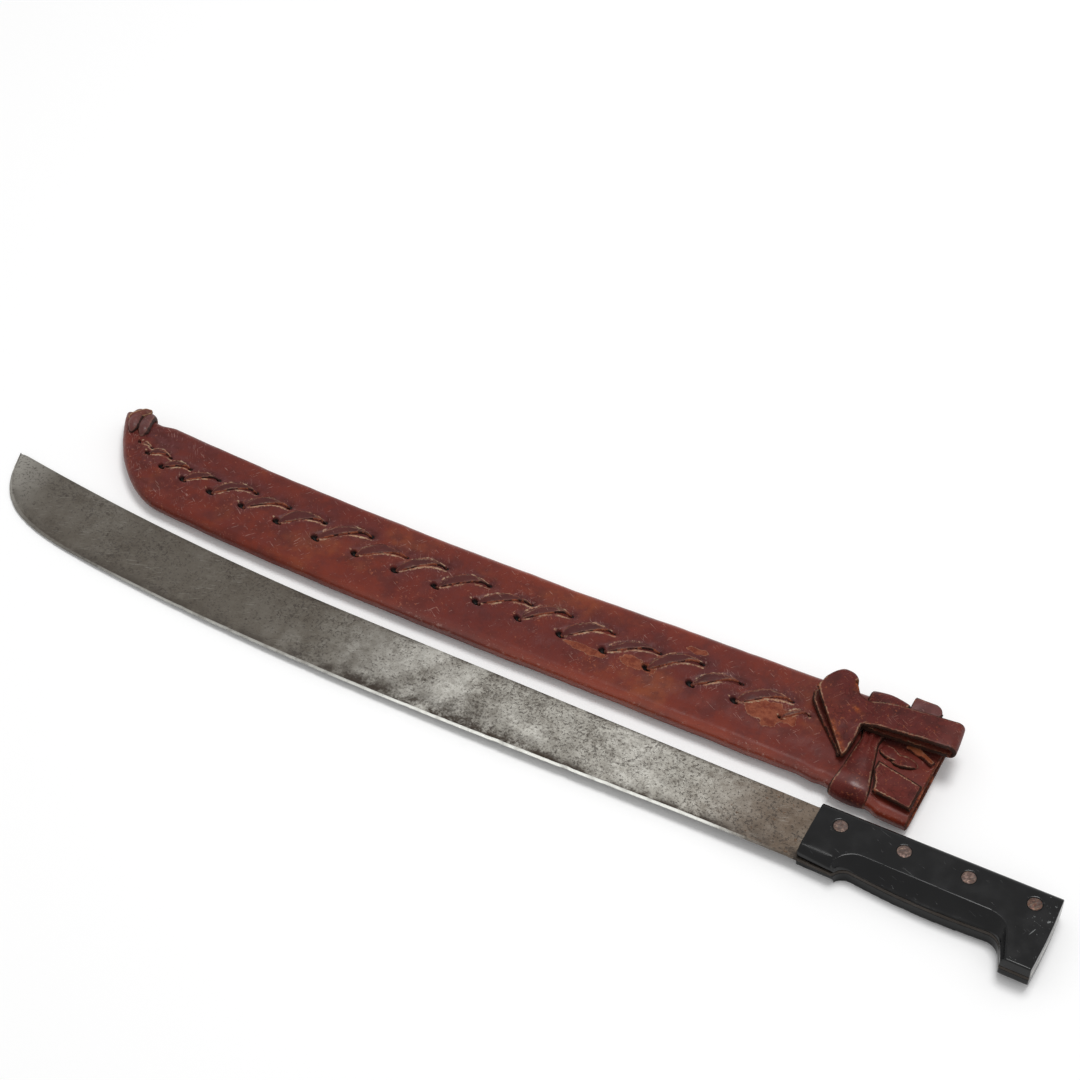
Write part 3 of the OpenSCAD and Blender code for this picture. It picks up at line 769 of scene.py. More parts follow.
@dataclass(frozen=True)
class LeatherFinish:
    """Old waxed leather: rubbed, scratched and dirty, with cut edges, painted sheen on rubbed folds and
    painted shade in the holes of the slits.
    """

    name: str
    dye: Colour = (93, 35, 28)
    light: Colour = (112, 44, 29)
    # The lighter colour of rubbed fold tops, wear and painted sheen together.
    glow: Colour = (138, 54, 31)
    tan: Colour = (126, 66, 40)
    dark: Colour = (68, 29, 27)
    purple: Colour = (84, 42, 43)
    scratch: Colour = (188, 150, 138)
    raw: Colour = (170, 148, 122)
    flesh: Colour = (114, 55, 40)
    scuff: Colour = (150, 86, 62)
    edge: Colour = (58, 28, 22)
    torn_deep: Colour = (110, 50, 24)
    torn_fibre: Colour = (182, 96, 44)
    # Near black, painted as the shade inside the holes of the slits.
    shaded_hole: Colour = (14, 9, 8)
    roughness: float = 0.46
    specular: float = 0.13
    polish: float = 0.6
    coat_roughness: float = 0.3
    scuffs: float = 0.5
    cracks: float = 0.3
    raw_edges: float = 0.4
    pale_edges: float = 0.0
    grain: float = 0.06

    def material(self, effects: Effects) -> Material:
        """Builds the material.

        Args:
            effects: the shared effects.

        Returns:
            The finished material.
        """
        nodes = Surface(self.name, effects)
        plus, minus, times = nodes.plus, nodes.minus, nodes.times
        tint, ramp, cloud = nodes.tint, nodes.ramp, nodes.cloud
        rim, under, seam, lip, pit, peel, worn, torn = (nodes.mask(mask) for mask in Mask)
        mottle = nodes.blotches(260.0, 0.5, 0.14)
        fleck = nodes.specks(520.0, 0.9 * self.scuffs)
        streak = nodes.most(
            nodes.effect(Effect.STREAKS, scale=1900.0, turn=0.95, long=15.0, amount=0.5 * self.scuffs - 0.2),
            nodes.effect(Effect.STREAKS, scale=1600.0, turn=-0.5, long=17.0, amount=0.5 * self.scuffs - 0.22),
        )
        hair = times(nodes.effect(Effect.STREAKS, scale=1900.0, turn=2.1, long=16.0, amount=0.2), seam)
        crack = nodes.effect(Effect.CRACKS, scale=190.0, width=0.035, amount=self.cracks)
        fibre = ramp(cloud(620.0, 5.0, 0.7), 0.3, 0.7)
        frayed = tint(fibre, self.scuff, self.raw)
        # Stains and rubbing of the face, with painted sheen where the folds are rubbed.
        smear = ramp(cloud(19.0, 6.0, 0.62), 0.53, 0.68, 0.0, 0.7)
        near_seam = times(seam, ramp(cloud(120.0, 5.0), 0.35, 0.6, 0.2, 0.95))
        sheen_patches = ramp(cloud(26.0, 4.0), 0.38, 0.6, 0.25, 0.95)
        rubbed = plus(cloud(300.0, 7.0, 0.72), times(worn, 0.2))
        # Places where the skin has peeled off.
        suede = tint(ramp(cloud(300.0, 6.0, 0.65), 0.36, 0.64), self.flesh, self.scuff)
        torn_off = ramp(plus(peel, times(fibre, 0.5)), 0.62, 0.78)
        flake = times(torn_off, ramp(peel, 0.45, 0.8, 1.0, 0.0))
        # Cut edges, their arrises and the lips of the slits.
        strayed = plus(rim, times(fibre, 0.35))
        rim_part = ramp(strayed, 0.75, 1.15)
        ends_at = 0.25 * self.raw_edges
        bare = ramp(cloud(150.0, 4.0, 0.6), 0.62 - ends_at, 0.7 - ends_at)
        ripped = times(torn, ramp(cloud(210.0, 5.0, 0.65), 0.4, 0.6, 0.2, 1.0))
        arris = minus(ramp(strayed, 0.4, 0.52), ramp(strayed, 0.86, 1.0))
        pale = ramp(cloud(105.0, 6.0, 0.7), 0.43, 0.6, 0.1 * self.pale_edges, self.pale_edges)
        ragged = plus(lip, times(minus(fibre, 0.5), 0.2))
        ragged = plus(ragged, times(minus(cloud(180.0, 5.0, 0.68), 0.5), 0.7))
        broken = ramp(cloud(95.0, 6.0, 0.7), 0.42, 0.55, 0.0, 0.95)
        colour = nodes.layered(self.dye, [
            (times(nodes.blotches(22.0, 0.5, 0.16), 0.8), self.light),
            (smear, self.tan),
            (times(nodes.blotches(95.0, 0.55, 0.1), 0.5), self.dark),
            (times(mottle, 0.22), self.purple),
            (near_seam, tint(mottle, self.dark, self.purple)),
            # Rubbed fold tops lighter: wear, and painted sheen where the light falls on them.
            (times(worn, sheen_patches), self.glow),
            (times(fleck, 0.6), self.scuff),
            (times(nodes.most(streak, hair), 0.42), self.scratch),
            # Broken pale spots on the rubbed folds: scuffs and painted highlights.
            (times(ramp(rubbed, 0.74, 0.86, 0.0, 0.4), worn), self.scratch),
            (times(crack, 0.4), self.dark),
            (times(torn_off, 0.75), suede),
            (times(flake, 0.35), self.raw),
            (times(under, 0.7), self.flesh),
            (rim_part, tint(bare, self.edge, tint(fibre, self.flesh, self.scuff))),
            (ripped, tint(fibre, self.torn_deep, self.torn_fibre)),
            (times(arris, pale), frayed),
            (times(ramp(ragged, 0.7, 0.82), broken), frayed),
            # The holes of the slits painted near black: painted shade.
            (pit, self.shaded_hole),
        ])
        rough = ramp(cloud(70.0, 5.0), 0.3, 0.7, self.roughness - 0.1, self.roughness + 0.12)
        rough = plus(rough, times(plus(rim_part, peel), 0.35))
        rough = minus(rough, times(worn, 0.24))
        rough = plus(rough, times(fleck, 0.15))
        nodes.fixed(Specular_IOR_Level=self.specular, Coat_Roughness=self.coat_roughness)
        nodes.feed(nodes.shader.inputs["Coat Weight"], ramp(worn, 0.0, 1.0, 0.0, self.polish))
        height = times(nodes.effect(Effect.GRAIN, scale=1300.0, pores=0.6), self.grain)
        height = minus(height, times(crack, 0.12))
        height = plus(height, times(cloud(160.0, 5.0), 0.5))
        height = plus(height, times(times(peel, fibre), 0.3))
        height = plus(height, times(times(rim_part, fibre), 0.3))
        height = minus(height, times(plus(fleck, streak), 0.04))
        return nodes.finished(colour, rough, height, 0.9)


@dataclass(frozen=True)
class SteelFinish:
    """Old carbon steel: mottled and pitted, brown towards its ends, bright along the edge."""

    name: str = "old_steel"
    grey: Colour = (184, 182, 175)
    dull: Colour = (140, 137, 129)
    brown: Colour = (78, 71, 62)
    rust: Colour = (98, 72, 50)
    pit: Colour = (52, 45, 39)
    bright: Colour = (236, 236, 230)
    roughness: float = 0.38

    def material(self, effects: Effects, tip_x: float, heel_x: float) -> Material:
        """Builds the material.

        Args:
            effects: the shared effects.
            tip_x: where the tip is, in metres.
            heel_x: where the blade meets the handle, in metres.

        Returns:
            The finished material.
        """
        nodes = Surface(self.name, effects)
        plus, minus, times, ramp, cloud = nodes.plus, nodes.minus, nodes.times, nodes.ramp, nodes.cloud
        along, length = nodes.along(), heel_x - tip_x
        worn, rim = nodes.mask(Mask.WEAR_AND_SHEEN), nodes.mask(Mask.RIM)
        cloudy = cloud(75.0, 12.0, 0.78)
        pits, spots = nodes.specks(700.0, 0.72), nodes.specks(260.0, 0.5)
        lines = nodes.effect(Effect.STREAKS, scale=1500.0, turn=0.35, amount=0.3)
        tip_part = ramp(along, tip_x + 0.34 * length, tip_x + 0.7 * length, 1.0, 0.0)
        heel_part = ramp(along, heel_x - 0.15 * length, heel_x - 0.02 * length)
        rubbed = ramp(along, tip_x, tip_x + 0.075 * length, 0.4, 0.0)
        uneven = ramp(cloud(30.0, 5.0, 0.6), 0.32, 0.62, 0.82, 1.12)
        patina = times(nodes.most(tip_part, times(heel_part, 0.9)), uneven)
        grit = ramp(cloud(640.0, 6.0, 0.75), 0.51, 0.61, 0.0, 0.52)
        grit = times(grit, ramp(cloudy, 0.35, 0.6, 0.4, 1.0))
        stained = ramp(cloud(80.0, 7.0, 0.7), 0.36, 0.58, 0.25, 0.95)
        shine = times(worn, ramp(cloud(160.0, 4.0), 0.3, 0.55, 0.55, 1.0))
        colour = nodes.layered(self.grey, [
            (ramp(nodes.blotches(21.0, 0.5, 0.13), 0.0, 1.0, 0.0, 0.6), self.dull),
            (ramp(patina, 0.0, 1.0, 0.0, 0.9), self.brown),
            (times(nodes.blotches(120.0, 0.52, 0.14), 0.28), self.brown),
            (ramp(cloudy, 0.44, 0.64, 0.0, 0.42), self.brown),
            (times(nodes.blotches(420.0, 0.5, 0.2), 0.26), self.brown),
            (ramp(cloudy, 0.54, 0.7, 0.0, 0.4), self.pit),
            (times(grit, ramp(patina, 0.2, 0.9, 1.0, 0.35)), self.pit),
            (rubbed, self.grey),
            (times(heel_part, 0.3), self.rust),
            (times(spots, 0.6), self.pit),
            (times(times(spots, heel_part), 0.7), self.rust),
            (times(pits, 0.6), self.pit),
            (times(lines, 0.12), self.grey),
            (ramp(times(rim, stained), 0.0, 1.0), self.pit),
            (shine, self.bright),
        ])
        aged = plus(pits, patina)
        nodes.feed(nodes.shader.inputs["Metallic"], minus(1.0, times(aged, 0.3)))
        rough = ramp(cloud(140.0, 5.0), 0.3, 0.7, self.roughness - 0.06, self.roughness + 0.14)
        rough = plus(rough, times(aged, 0.12))
        height = times(plus(pits, spots), -0.08)
        height = plus(height, times(cloud(800.0, 5.0, 0.6), 0.06))
        return nodes.finished(colour, rough, height, 0.8)


@dataclass(frozen=True)
class GripFinish:
    """Black pressed horn, polished by the hand, with chalky chips at its corners."""

    name: str = "black_grip"
    black: Colour = (9, 9, 10)
    soft_black: Colour = (15, 15, 16)
    chip: Colour = (128, 130, 130)
    roughness: float = 0.15
    specular: float = 0.2
    chipped_l: float = 0.026

    def material(self, effects: Effects, butt_x: float) -> Material:
        """Builds the material.

        Args:
            effects: the shared effects.
            butt_x: where the butt is, in metres.

        Returns:
            The finished material.
        """
        nodes = Surface(self.name, effects)
        plus, minus, times, ramp, cloud = nodes.plus, nodes.minus, nodes.times, nodes.ramp, nodes.cloud
        butt_part = ramp(nodes.along(), butt_x - self.chipped_l, butt_x, 0.0, 1.0)
        lines = nodes.effect(Effect.STREAKS, scale=1100.0, turn=-0.35, amount=0.05)
        cross = nodes.effect(Effect.STREAKS, scale=700.0, turn=1.25, long=7.0, amount=0.02)
        chips = times(plus(nodes.specks(420.0, 0.42), cross), butt_part)
        colour = nodes.layered(self.black, [
            (nodes.blotches(50.0, 0.5, 0.2), self.soft_black),
            (times(lines, 0.06), self.chip),
            (ramp(chips, 0.2, 1.0, 0.0, 0.75), self.chip),
        ])
        marks = plus(lines, chips)
        rough = ramp(cloud(90.0, 5.0), 0.3, 0.7, self.roughness - 0.05, self.roughness + 0.1)
        rough = plus(rough, times(marks, 0.2))
        nodes.fixed(Specular_IOR_Level=self.specular)
        height = minus(times(cloud(260.0, 4.0), 0.05), times(marks, 0.03))
        return nodes.finished(colour, rough, height, 0.7)


@dataclass(frozen=True)
class RivetFinish:
    """A filed rivet head, dulled and spotted, with painted shade round its rim."""

    name: str
    metal: Colour
    spot: Colour
    bright: Colour = (205, 180, 140)
    pit: Colour = (52, 34, 28)
    # Near black round the rim of the head: painted shade where it meets the scale.
    grime: Colour = (20, 16, 15)
    roughness: float = 0.42

    def material(self, effects: Effects) -> Material:
        """Builds the material.

        Args:
            effects: the shared effects.

        Returns:
            The finished material.
        """
        nodes = Surface(self.name, effects)
        rim = nodes.mask(Mask.RIM)
        spots, pits = nodes.blotches(520.0, 0.5, 0.1), nodes.specks(700.0, 0.95)
        lines = nodes.effect(Effect.STREAKS, scale=1500.0, turn=0.8, amount=0.55)
        colour = nodes.layered(self.metal, [
            (nodes.times(spots, 0.6), self.spot),
            (nodes.times(pits, 0.6), self.pit),
            (nodes.times(lines, 0.12), self.bright),
            # The rim painted near black: painted shade.
            (rim, self.grime),
        ])
        nodes.feed(nodes.shader.inputs["Metallic"], nodes.ramp(nodes.plus(pits, rim), 0.0, 1.0, 0.75, 0.2))
        rough = nodes.ramp(spots, 0.0, 1.0, self.roughness - 0.06, self.roughness + 0.16)
        return nodes.finished(colour, rough, nodes.times(nodes.plus(pits, spots), -0.08), 0.9)


def dress(piece: Object, finish: Material, body: Body, nodes: Sequence[str], slot: str) -> None:
    """Gives a piece its finish and its place among the moving bodies.

    Args:
        piece: the piece, in place.
        finish: its material.
        body: the body that it moves with.
        nodes: the CAD nodes that it stands for.
        slot: a material slot's name, not used.
    """
    piece.data.materials.clear()
    piece.data.materials.append(finish)
    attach(piece, body.value)
    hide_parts(*nodes)
    LOG.info("%s: %d faces on %s", piece.name, len(piece.data.polygons), body.value)


@dataclass
class Finishes:
    """Every finish of the set, built once."""

    steel: Material
    grip: Material
    iron: Material
    copper: Material
    hide: Material
    strap: Material
    thong: Material
    raw_thong: Material
    waxed: Material
    cut_thong: Material

    @classmethod
    def made(cls, layout: Layout, blade_l: float, handle_l: float) -> "Finishes":
        """Builds every finish.

        Args:
            layout: where the machete lies.
            blade_l: length of the blade.
            handle_l: length of the handle.

        Returns:
            The finishes.
        """
        effects = Effects()
        heel_x = layout.shift_x * MM
        plain = {
            "iron": RivetFinish("dull_rivet", (104, 85, 78), (60, 45, 40)),
            "copper": RivetFinish("copper_rivet", (92, 64, 54), (48, 30, 25)),
            "hide": LeatherFinish("red_hide"),
            # strap: its glow colour also paints sheen on the rubbed folds of the keeper and the loop.
            "strap": LeatherFinish(
                "strap_hide", dye=(85, 31, 27), light=(104, 41, 32), dark=(48, 21, 19), purple=(66, 27, 28),
                glow=(100, 40, 30), tan=(98, 44, 31), scratch=(160, 112, 96), scuff=(142, 78, 52),
                edge=(48, 28, 21), scuffs=0.6, raw_edges=0.12, pale_edges=0.7, cracks=0.7, specular=0.11,
            ),
            "thong": LeatherFinish(
                "dark_thong", dye=(72, 31, 29), light=(86, 39, 34), dark=(50, 25, 24), purple=(74, 37, 37),
                tan=(84, 42, 36), edge=(50, 28, 25), scuffs=0.3, raw_edges=0.7, pale_edges=0.3, specular=0.12,
            ),
            "raw_thong": LeatherFinish(
                "raw_thong", dye=(120, 60, 33), light=(148, 80, 42), dark=(84, 42, 27),
                scuffs=0.6, pale_edges=0.5,
            ),
            # waxed: its pale pink tones also paint the reflection on the top of the strap's tail.
            "waxed": LeatherFinish(
                "pale_sheen_thong", dye=(90, 42, 39), light=(108, 56, 50), dark=(58, 29, 28), purple=(98, 62, 60),
                tan=(104, 60, 52), edge=(50, 30, 26), scuffs=0.4, raw_edges=0.2, pale_edges=0.25,
                roughness=0.4, specular=0.26,
            ),
            "cut_thong": LeatherFinish(
                "cut_thong", dye=(100, 52, 44), light=(122, 70, 56), dark=(66, 34, 30), purple=(96, 60, 54),
                flesh=(140, 100, 74), scuff=(172, 138, 108), raw_edges=1.0,
            ),
        }
        return cls(
            steel=SteelFinish().material(effects, heel_x - blade_l * MM, heel_x),
            grip=GripFinish().material(effects, heel_x + handle_l * MM),
            **{use: finish.material(effects) for use, finish in plain.items()},
        )


@dataclass
class Blade:
    """The blade with its bevel, and the full tang that carries the scales.

    bright, dark and band give the rows of one face, from the back to the edge, their share of
    the honed edge, of the grime beside it and of the stains. honed and stain say how strong
    these are, by the share of the blade's length from the handle.
    """

    blade_l: float = 533.0
    heel_w: float = 35.4
    belly_w: float = 43.3
    tip_rise: float = 17.0
    sweep_l: float = 245.0
    steel_t: float = 2.2
    tip_t: float = 1.6
    bevel_w: float = 3.4
    edge_t: float = 0.3
    back_round: float = 0.35
    tip_round: float = 1.1
    face_rows: tuple = (0.05, 0.12, 0.3, 0.5, 0.68, 0.8, 0.87, 0.94)
    bright: tuple = (0.0,) * 12 + (0.8, 1.0, 1.0)
    dark: tuple = (0.9, 0.8, 0.3, 0.0, 0.0, 0.0, 0.0, 0.0, 0.2, 0.55, 0.85, 1.0, 0.5, 0.0, 0.0)
    band: tuple = (0.0, 0.0, 0.0, 0.0, 0.05, 0.15, 0.35, 0.55, 0.6, 0.6, 0.4, 0.0, 0.0, 0.0, 0.0)
    honed: tuple = ((0, 0), (0.05, 0.1), (0.1, 1), (0.45, 0.95), (0.53, 0.45), (0.78, 0.35), (0.85, 0.08))
    stain: tuple = ((0.0, 0.9), (0.04, 0.6), (0.12, 0.1), (0.22, 0.0), (0.32, 1.0), (0.5, 1.0), (0.62, 0.3))

    def back_y(self, x: Array) -> Array:
        """Height of the back line at x: straight, then swept up to the tip."""
        into = np.maximum(self.sweep_l - self.blade_l - x, 0.0)
        return self.tip_rise * (into / self.sweep_l) ** 2

    def outline(self, i: Array) -> tuple[Array, Array]:
        """The edge and the back of the blade.

        Args:
            i: stations, 0 at the handle, 1 where the two edge curves join, 2 at the tip.

        Returns:
            The points of the edge and of the back.
        """
        length, heel, belly = self.blade_l, self.heel_w, self.belly_w
        join = [-0.75 * length, -0.93 * belly]
        rear = [
            [0, -heel], [-0.225 * length, -0.3 * belly - 0.7 * heel],
            [-0.484 * length, -1.66 * belly + 0.66 * heel], join,
        ]
        front = [
            join, [-0.92 * length, -0.8 * belly], [-0.978 * length, -0.74 * belly],
            [-length, self.tip_rise - 1.5],
        ]
        late = np.clip(i - 1, 0, 1)
        edge = np.where((i <= 1)[:, None], bezier(rear, np.clip(i, 0, 1)), bezier(front, late))
        back_x = np.where(i <= 1, edge[:, 0], join[0] + (-length - join[0]) * late**1.15)
        back_y = self.back_y(back_x) - self.tip_round * np.clip((late - 0.96) / 0.04, 0, 1) ** 2
        return edge, np.c_[back_x, back_y]

    def body(self) -> Shape:
        """Builds the blade itself, with small nicks and a bevel of uneven width.

        Returns:
            The blade with its masks for the honed edge and the grime.
        """
        i = np.concatenate([np.linspace(0, 1, 160), np.linspace(1, 2, 240)[1:]])
        edge, back = self.outline(i)
        share = np.where(i <= 1, 0.4 * i, 0.4 + 0.6 * (i - 1))
        half = (self.steel_t + (self.tip_t - self.steel_t) * share) / 2
        way = unit(back - edge)
        nick = np.maximum(ripple(np.c_[edge, 0 * i], 5.0, 3.0) - 0.25, 0) * 0.7
        edge = edge + way * (nick + 0.08 * ripple(np.c_[edge, 0 * i], 2.2, 9.0))[:, None]
        grow = np.minimum(1, i * 16 / 3) * np.minimum(1, (2 - i) * 24 / 8 + 0.125)
        uneven = 1 + 0.25 * ripple(np.c_[edge, 0 * i], 45.0, 5.0)
        bevel = self.bevel_w * (0.31 + 0.35 * ease(i - 1)) * grow * uneven
        start = edge + way * np.maximum(0.3, bevel)[:, None]
        thin = self.edge_t / 2
        edge_half = np.where(i * 16 < 3, half + (thin - half) * (i * 16 + 0.5) / 3.5, thin)
        inner = back - way * self.back_round
        rows = [(back, half - self.back_round), (inner, half)]
        rows += [(inner + (start - inner) * s, half) for s in self.face_rows]
        rows += [(start + way * 0.9, half), (start + way * 0.2, half), (start, half)]
        rows += [(start + (edge - start) * 0.5, (half + edge_half) / 2 + 0.03), (edge, edge_half)]
        side = [np.c_[p, z * np.ones(len(i))] for p, z in rows]
        mirrored = [np.c_[p, -z * np.ones(len(i))] for p, z in rows][::-1]
        rings = np.stack(side + mirrored, axis=1)
        from_heel = -edge[:, 0] / self.blade_l
        honed, stain = (np.interp(from_heel, *zip(*table)) for table in (self.honed, self.stain))
        bright, dark, band = (np.r_[row, row[::-1]] for row in (self.bright, self.dark, self.band))
        rim = np.outer(0.4 + 0.6 * honed, dark) + np.outer(stain, band)
        masks = {Mask.WEAR_AND_SHEEN: np.outer(honed, bright).ravel(), Mask.RIM: np.minimum(rim, 1).ravel()}
        return Shape(rings.reshape(-1, 3), grid_faces(len(i), rings.shape[1]), masks)

    def tang(self, handle: "Handle") -> Shape:
        """The tang, a flat plate that follows the scales and shows at their edges.

        Args:
            handle: gives the outline of the grip.

        Returns:
            The plate.
        """
        reach = np.array(handle.guard_end())
        front = [[-1.0, 0.0], [-1.0, -self.heel_w + 0.15], [0.0, -self.heel_w], (reach - (1.0, 0.6)).tolist()]
        line = np.array(front + [p for p in handle.outline(-1.0)[2:] if p[0] > reach[0]])
        line = np.vstack([line, line[-1] + 0.015 * (line[0] - line[-1])])
        n = len(line)
        half = self.steel_t / 2 - 0.02
        points = np.vstack([np.c_[line, np.full(n, z)] for z in (-half, half)])
        faces = [list(range(n)), list(range(n, 2 * n))[::-1]]
        faces += [[i, n + i, n + (i + 1) % n, (i + 1) % n] for i in range(n)]
        butt = (points[:, 0] > handle.handle_l - 1) & (points[:, 1] > 2 - handle.hook_drop)
        edge = butt.astype(float)
        return Shape(points, faces, {Mask.WEAR_AND_SHEEN: edge * 0.7, Mask.RIM: 4.0 * (1 - edge)})

    def build(self, handle: "Handle", layout: Layout, finishes: Finishes) -> None:
        """Makes the blade and the tang as one piece."""
        piece = self.body().joined(self.tang(handle)).piece("blade_and_tang", layout.laid, smooth=False)
        dress(piece, finishes.steel, Body.MACHETE, ["blade"], "steel")


@dataclass
class Handle:
    """The two scales and their rivets."""

    handle_l: float = 133.8
    scale_t: float = 7.2
    guard_drop: float = 34.4
    guard_l: float = 21.5
    grip_drop: float = 30.5
    grip_swell: float = 2.0
    hook_drop: float = 47.4
    hook_w: float = 16.1
    back_rise: float = 1.8
    butt_bulge: float = 0.8
    bend_r: float = 9.0
    notch_r: float = 7.5
    hook_slope: float = 17.7
    half_steel: float = 1.1
    rivet_front: float = 15.4
    rivet_back: float = 12.2
    rivet_drop: float = 11.2
    rivets: int = 4
    head_r: float = 4.0
    head_t: float = 1.2
    pin_r: float = 1.5
    pin_play: float = 0.05
    sleeve_r: float = 2.2
    around: int = 48
    wear_voxel: float = 0.42
    wear_passes: int = 5

    def notch(self) -> tuple[float, float]:
        """The middle of the finger notch."""
        return self.guard_l + 8, -self.grip_drop - self.notch_r

    def guard_end(self) -> tuple[float, float]:
        """The lowest point of the guard, where the notch starts."""
        x, y = self.notch()
        turn = math.radians(20)
        return x - self.notch_r * math.cos(turn), y + self.notch_r * math.sin(turn)

    def outline(self, front: float) -> list:
        """The outline of the grip.

        Args:
            front: x of its front end.

        Returns:
            Its corners, from the back of its front end round the edge side.
        """
        hook_x = self.handle_l - self.hook_w
        notch = self.notch()
        bend = (hook_x - 12, -self.grip_drop - 1 - self.bend_r)

        def arc(centre: tuple, radius: float, start: float, end: float, steps: int) -> list:
            """Points of an arc between two angles in degrees."""
            turns = np.radians(np.linspace(start, end, steps + 1))
            return (np.c_[np.cos(turns), np.sin(turns)] * radius + centre).tolist()

        grip_start = (notch[0], notch[1] + self.notch_r)
        grip_end = (bend[0], bend[1] + self.bend_r)
        t = np.arange(1, 20) / 20
        grip_x = grip_start[0] + (grip_end[0] - grip_start[0]) * t
        grip_y = grip_start[1] + (grip_end[1] - grip_start[1]) * t - self.grip_swell * np.sin(math.pi * t)
        b = np.arange(1, 16) / 16
        butt_x = self.handle_l + self.butt_bulge * np.sin(math.pi * b)
        butt_y = -self.hook_drop + (self.back_rise + self.hook_drop) * b
        return (
            [[front, self.back_rise * front / self.handle_l], [front, -self.guard_drop]]
            + arc(notch, self.notch_r, 160, 90, 12)
            + np.c_[grip_x, grip_y].tolist()
            + arc(bend, self.bend_r, 90, self.hook_slope, 14)
            + [[hook_x, -self.hook_drop], [self.handle_l, -self.hook_drop]]
            + np.c_[butt_x, butt_y].tolist()
            + [[self.handle_l, self.back_rise]]
        )

    def scale(self, node: str, name: str, finishes: Finishes) -> None:
        """Makes one scale, its edges worn round by the hand.

        Args:
            node: the CAD node that it is made from.
            name: the piece's name.
            finishes: the finishes.
        """
        source = bpy.data.objects[node]
        piece = bpy.data.objects.new(name, source.data.copy())
        bpy.context.scene.collection.objects.link(piece)
        softened(piece, self.wear_voxel, self.wear_passes)
        dress(piece, finishes.grip, Body.MACHETE, [node], "grip")

    def lathe(self, profile: Sequence, at: tuple[float, float]) -> Shape:
        """A turned shape.

        Args:
            profile: radius and height of each ring, from the outer end inwards.
            at: its place in plan.

        Returns:
            The shape with its rim mask.
        """
        around = self.around
        turns = np.linspace(0, 2 * math.pi, around, endpoint=False)
        circle = np.c_[np.cos(turns), np.sin(turns)]
        points = np.vstack([np.c_[circle * r + at, np.full(around, z)] for r, z in profile])
        rim = np.concatenate([np.full(around, float(r > 0.93 * self.head_r)) for r, _ in profile])
        dent = ripple(points, 2.4, 4.0) * 0.06
        points[:, 2] += np.where(np.abs(points[:, 2]) > 6.5, dent, 0)
        return Shape(points, grid_faces(len(profile), around), {Mask.RIM: rim})

    def rivet(self, i: int, layout: Layout, finishes: Finishes) -> None:
        """Makes one rivet with its cap on the underside.

        Args:
            i: number of the rivet, from the front.
            layout: where the machete lies.
            finishes: the finishes.
        """
        step = (self.handle_l - self.rivet_front - self.rivet_back) / (self.rivets - 1)
        x = self.rivet_front + i * step
        at = (x, self.back_rise * x / self.handle_l - self.rivet_drop)
        face = self.half_steel + self.scale_t
        r, t, play = self.head_r, self.head_t, self.pin_play
        bore = self.pin_r + play
        head = [
            (0.05, face + 0.1), (1.2, face + 0.09), (2.4, face + 0.05), (3.2, face), (r - 0.3, face - 0.05),
            (r - 0.08, face - 0.16), (r, face - 0.4), (r, face - t),
        ]
        pin = [(self.pin_r, face - t), (self.pin_r, 2 * t - face), (0.05, 2 * t - face)]
        front = i < self.rivets - 1
        metal, slot = (finishes.iron, "rivet_front") if front else (finishes.copper, "rivet_rear")
        made = self.lathe(head + pin, at).piece(f"rivet_head_{i + 1}", layout.laid)
        dress(made, metal, Body.MACHETE, [f"rivet_{i + 1}"], slot)
        cap = [(radius, -height) for radius, height in head]
        cap += [(self.sleeve_r, t - face), (self.sleeve_r, face - t - play), (bore, face - t - play)]
        cap += [(bore, 2 * t - play - face), (0.05, 2 * t - play - face)]
        shape = self.lathe(cap, at)
        shape.faces = [f[::-1] for f in shape.faces]
        foot = shape.piece(f"rivet_foot_{i + 1}", layout.laid)
        dress(foot, finishes.iron, Body.MACHETE, [f"rivet_cap_{i + 1}"], "rivet_front")

    def build(self, layout: Layout, finishes: Finishes) -> None:
        """Makes the scales and the rivets.

        Args:
            layout: where the machete lies.
            finishes: the finishes.
        """
        self.scale("scale_top", "upper_scale", finishes)
        self.scale("scale_bottom", "lower_scale", finishes)
        for i in range(self.rivets):
            self.rivet(i, layout, finishes)


